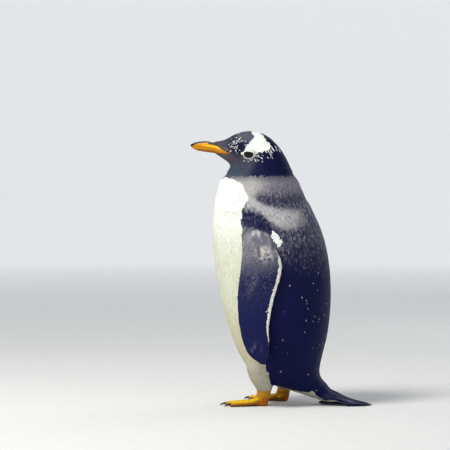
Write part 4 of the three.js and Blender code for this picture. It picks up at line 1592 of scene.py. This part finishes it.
def skin_piece(points, triangles, materials):
    """The skin and the lids as one piece. Returns the ground that feathers stand on."""
    lid_shapes = [lids(side) for side in SIDES]
    skin_count = len(points)
    ground = Ground(points, triangles, lid_shapes)
    all_points, all_triangles = joined([(points, triangles)] + lid_shapes)
    normals = normals_of(all_points, all_triangles)
    part = np.full(len(all_points), "lid", "<U8")
    part[:skin_count] = parts_at(points, ALL_FLESH)
    colours = plumage(all_points, normals, part, np.full(len(all_points), 0.5)) * 0.8
    foot = part == "foot"
    colours[foot] = foot_colour(all_points[foot], normals[foot])
    gape = in_gape(all_points) & (part == "head")
    colours[gape] = rgb(214, 120, 10)
    rim = smoothstep(0.75 * MM, 0.4 * MM, outside_opening(all_points[skin_count:])[0])
    colours[skin_count:] = blend(PLUMAGE["white"], rgb(16, 15, 20), rim)
    mesh = new_mesh("skin", all_points, all_triangles)
    tinted(mesh, colours)
    mesh.shade_smooth()
    for name in ("down", "foot", "lid"):
        mesh.materials.append(materials[name])
    face_part = part[all_triangles[:, 0]]
    which = np.select([face_part == "foot", face_part == "lid"], [1, 2], 0)
    mesh.polygons.foreach_set("material_index", which)
    piece = new_object("skin", mesh)
    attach(piece, "root")
    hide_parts(*FLESH)
    return ground


# A plate across a toe: its path runs from side to side of the toe.
SCUTE = Vanes(np.linspace(0.08, 0.92, 7), (1, 0.6, -0.6, -1), [0.6, 0.9, 1, 1, 1, 0.9, 0.6], np.ones(7))
SCUTE.lift = np.concatenate([[0], np.tile([0, 1, 1, 0], 7), [0]])


def toe_lines(side):
    """From the front of the ankle to the root of each claw, above the foot."""
    low, high = corners("foot_" + side)
    ankle = np.array([(low[0] + high[0]) / 2, high[1] - 22 * MM])
    for toe in ("inner", "middle", "outer"):
        claw = [c[:2] for c in corners(f"claw_{side}_{toe}")]
        yield ankle, np.array([(claw[0][0] + claw[1][0]) / 2, claw[1][1] - 3 * MM])


def toe_scutes(side, ground):
    """Broad plates across the tops of the toes, as paths over the skin and its normals."""
    paths, ups, halves = [], [], []
    for ankle, tip in toe_lines(side):
        along = unit(tip - ankle)
        across = np.array([-along[1], along[0]])
        length = np.linalg.norm(tip - ankle)
        step = 2.35 * MM
        for k in range(int((length - 12 * MM) / step)):
            centre = tip - along * step * k
            reach = (2.5 + 1.1 * smoothstep(0, 10, k)) * MM
            path = []
            for s in SCUTE.share:
                x, y = centre + across * (2 * s - 1) * reach
                path.append(ground.on_skin.hit((x, y, 0.06), (0, 0, -1), np.array([x, y, 0])))
            path = np.array(path)
            if path[:, 2].max() > 14 * MM or path[:, 2].min() < 1.5 * MM:
                continue
            _, normals, _ = ground.on_skin(path)
            paths.append(path - normals * 0.08 * MM)
            ups.append(normals)
            halves.append(0.56 * step)
    return np.array(paths), np.array(ups), np.array(halves)


def foot_pebbles(ground, scutes):
    """Small domed scales over the rest of the bare skin: their centres and normals."""
    near = ground.near
    keep = ground.part == "foot"
    spots, face = scattered(near.points, near.triangles[keep], ground.part[keep], 31)
    normals = near.smooth_normals(spots, np.flatnonzero(keep)[face])
    tree = tree_of(scutes)
    clear = np.array([tree.find(spot)[2] > 1.5 * MM for spot in spots]) & (spots[:, 2] > 0.7 * MM)
    return spots[clear], normals[clear]


def dome_faces():
    """A hexagonal scale: a rim, a raised ring, the middle, and a flat underside."""
    k, ahead = around(6)
    top = np.stack([6 + k, 6 + ahead, np.full(6, 12)], axis=1)
    sides = np.concatenate([np.stack([k, ahead, 6 + ahead], 1), np.stack([k, 6 + ahead, 6 + k], 1)])
    return np.concatenate([top, sides, [[0, 2, 1], [0, 3, 2], [0, 4, 3], [0, 5, 4]]])


def foot_scales(side, ground, material):
    """One foot's plates and pebbles, joined."""
    paths, ups, halves = toe_scutes(side, ground)
    plates = SCUTE.laid(paths, ups, halves, np.full(len(paths), 0.36 * MM))
    spots, normals = foot_pebbles(ground, paths.reshape(-1, 3))
    here = spots[:, 0] * SIDES[side] > 0
    spots, normals = spots[here], normals[here]
    along = unit(np.cross(normals, np.cross([[0.0, -1.0, 0.02]], normals)))
    across = np.cross(normals, along)
    turns = np.arange(6) * math.pi / 3
    size = np.where(spots[:, 2] > 12 * MM, 1.05, 0.9) * MM
    lengthwise, crosswise = np.cos(turns)[None, :, None], 1.15 * np.sin(turns)[None, :, None]
    rim = lengthwise * along[:, None] + crosswise * across[:, None]
    base = spots[:, None] + rim * size[:, None, None] - normals[:, None] * 0.12 * MM
    ring = spots[:, None] + rim * 0.62 * size[:, None, None] + normals[:, None] * 0.2 * MM
    middle_point = (spots + normals * 0.27 * MM)[:, None]
    domes = np.concatenate([base, ring, middle_point], axis=1)
    shapes = []
    for shape, faces in ((plates, SCUTE.faces), (domes, dome_faces())):
        shapes.append((shape.reshape(-1, 3), copies_of(faces, *shape.shape[:2])))
    points, triangles = joined(shapes)
    points[:, 2] = np.maximum(points[:, 2], 0.2 * MM)
    _, skin_normals, _ = ground.on_skin(points)
    colour = foot_colour(points, skin_normals)
    solid_piece("foot_scales_" + side, points, triangles, colour, material)


def build_bird():
    materials = {
        "coat": vane_material(),
        "down": down_material(),
        "foot": foot_material(),
        "lid": lid_material(),
        "bill": horn_material("bill_horn", 0.42, (900, 90, 1100), 0.06),
        "claw": horn_material("claw_horn", 0.34, (1300, 160, 1300), 0.2),
        "eye": eye_material(),
    }
    ground = skin_piece(*bare_skin(), materials)
    for side in SIDES:
        foot_scales(side, ground, materials["foot"])
        points, triangles, colour = eyeball(side)
        solid_piece("eyeball_" + side, points, triangles, colour, materials["eye"], ["eye_" + side])
    for node in ("bill_upper", "bill_lower"):
        points, triangles = bill_shape(node, ground)
        colour = bill_colour(points, node)
        solid_piece(node + "_horn", points, triangles, colour, materials["bill"], [node])
    for node in [n for n in SHAPES if n.startswith("claw")]:
        points, triangles = claw_shape(node)
        colour = claw_colour(points, node)
        solid_piece(node + "_horn", points, triangles, colour, materials["claw"], [node])
    points, template, colour, unwrap, luck = tail_feathers()
    finish = ("tail_feathers", materials["coat"])
    tail = coat_object("tail_feathers", points, template, colour, unwrap, *finish, luck)
    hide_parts("tail")
    grow_coat(ground, materials["coat"])


# ---- the museum's floor, lights and camera --------------------------------------------------


def backdrop():
    """A pale floor that curves up into a wall all round, far off, and glows a little there."""
    rings = [(0.0, 0.0), (2.0, 0.0), (6.0, 0.0)]
    rings += [(6 + 2.5 * math.sin(a), 2.5 - 2.5 * math.cos(a)) for a in np.linspace(0.1, math.pi / 2, 14)]
    rings += [(8.5, 6.0)]
    sides = 96
    turns = np.linspace(0, 2 * math.pi, sides, endpoint=False)
    points = [[r * math.cos(t), r * math.sin(t), z] for r, z in rings[1:] for t in turns]
    triangles = grid_faces(len(rings) - 1, sides, True)
    hub = cap(len(points), 0, sides)
    points.append([0, 0, 0])
    mesh = new_mesh("studio_floor", np.array(points, float), np.concatenate([triangles[:, ::-1], hub]))
    mesh.shade_smooth()
    n = Nodes("studio_floor")
    speck = n.noise(n.place(), 40.0, 5.0)
    pale = n.add("ShaderNodeRGB").outputs[0]
    pale.default_value = (0.66, 0.655, 0.64, 1)
    n.set(Base_Color=n.scaled(pale, n.graded(speck, 0.98, 1.02)), Roughness=0.85)
    n.set(Specular_IOR_Level=0.1, Emission_Color=(0.94, 0.97, 1.0, 1))
    far = n.add("ShaderNodeVectorMath", {0: n.place()}, operation="LENGTH").outputs["Value"]
    n.set(Emission_Strength=n.span(far, 1.2, 6.0, 0.0, 0.4))
    mesh.materials.append(n.material)
    new_object("studio_floor", mesh)


VIEW = {"azimuth": 102, "elevation": 1.5, "distance": 4.05, "lens": 180, "sensor": 36}
AIM = Vector((0, 0, 0.28))  # the middle of the bird, where the lamps point
VIEW_RIGHT, VIEW_HEIGHT = -100.8 * MM, 321.3 * MM  # what the middle of the picture shows


def view_directions():
    turn, rise = (math.radians(VIEW[k]) for k in ("azimuth", "elevation"))
    back = Vector((math.sin(turn) * math.cos(rise), -math.cos(turn) * math.cos(rise), math.sin(rise)))
    right = Vector((math.cos(turn), math.sin(turn), 0))
    return back, right, back.cross(right)


def camera():
    back, right, up = view_directions()
    data = bpy.data.cameras.new("view")
    data.lens, data.sensor_width = VIEW["lens"], VIEW["sensor"]
    eye = bpy.data.objects.new("view", data)
    target = right * VIEW_RIGHT + up * VIEW_HEIGHT
    eye.location = target + back * VIEW["distance"]
    eye.rotation_euler = back.to_track_quat("Z", "Y").to_euler()
    bpy.context.scene.collection.objects.link(eye)
    bpy.context.scene.camera = eye


def lamp(name, right, up, back, size, power, colour):
    """A soft square lamp placed by the camera's directions and aimed at the bird's middle."""
    to_back, to_right, to_up = view_directions()
    data = bpy.data.lights.new(name, "AREA")
    data.shape, data.size, data.energy, data.color = "SQUARE", size, power, colour
    thing = bpy.data.objects.new(name, data)
    thing.location = to_right * right + to_up * up + to_back * back
    thing.rotation_euler = (thing.location - AIM).to_track_quat("Z", "Y").to_euler()
    bpy.context.scene.collection.objects.link(thing)


def studio():
    backdrop()
    camera()
    lamp("key", -1.2, 2.2, 0.9, 0.8, 60, (1.0, 0.985, 0.95))
    lamp("fill", 1.7, 0.9, 2.0, 2.2, 5, (0.93, 0.96, 1.0))
    lamp("rim", 1.5, 1.6, -1.5, 1.2, 12, (0.95, 0.97, 1.0))
    world = bpy.data.worlds.new("studio")
    world.use_nodes = True
    sky = world.node_tree.nodes["Background"]
    sky.inputs["Color"].default_value = (0.86, 0.91, 1.0, 1)
    sky.inputs["Strength"].default_value = 0.4
    bpy.context.scene.world = world
    bpy.context.scene.view_settings.view_transform = "Standard"


build_bird()
studio()
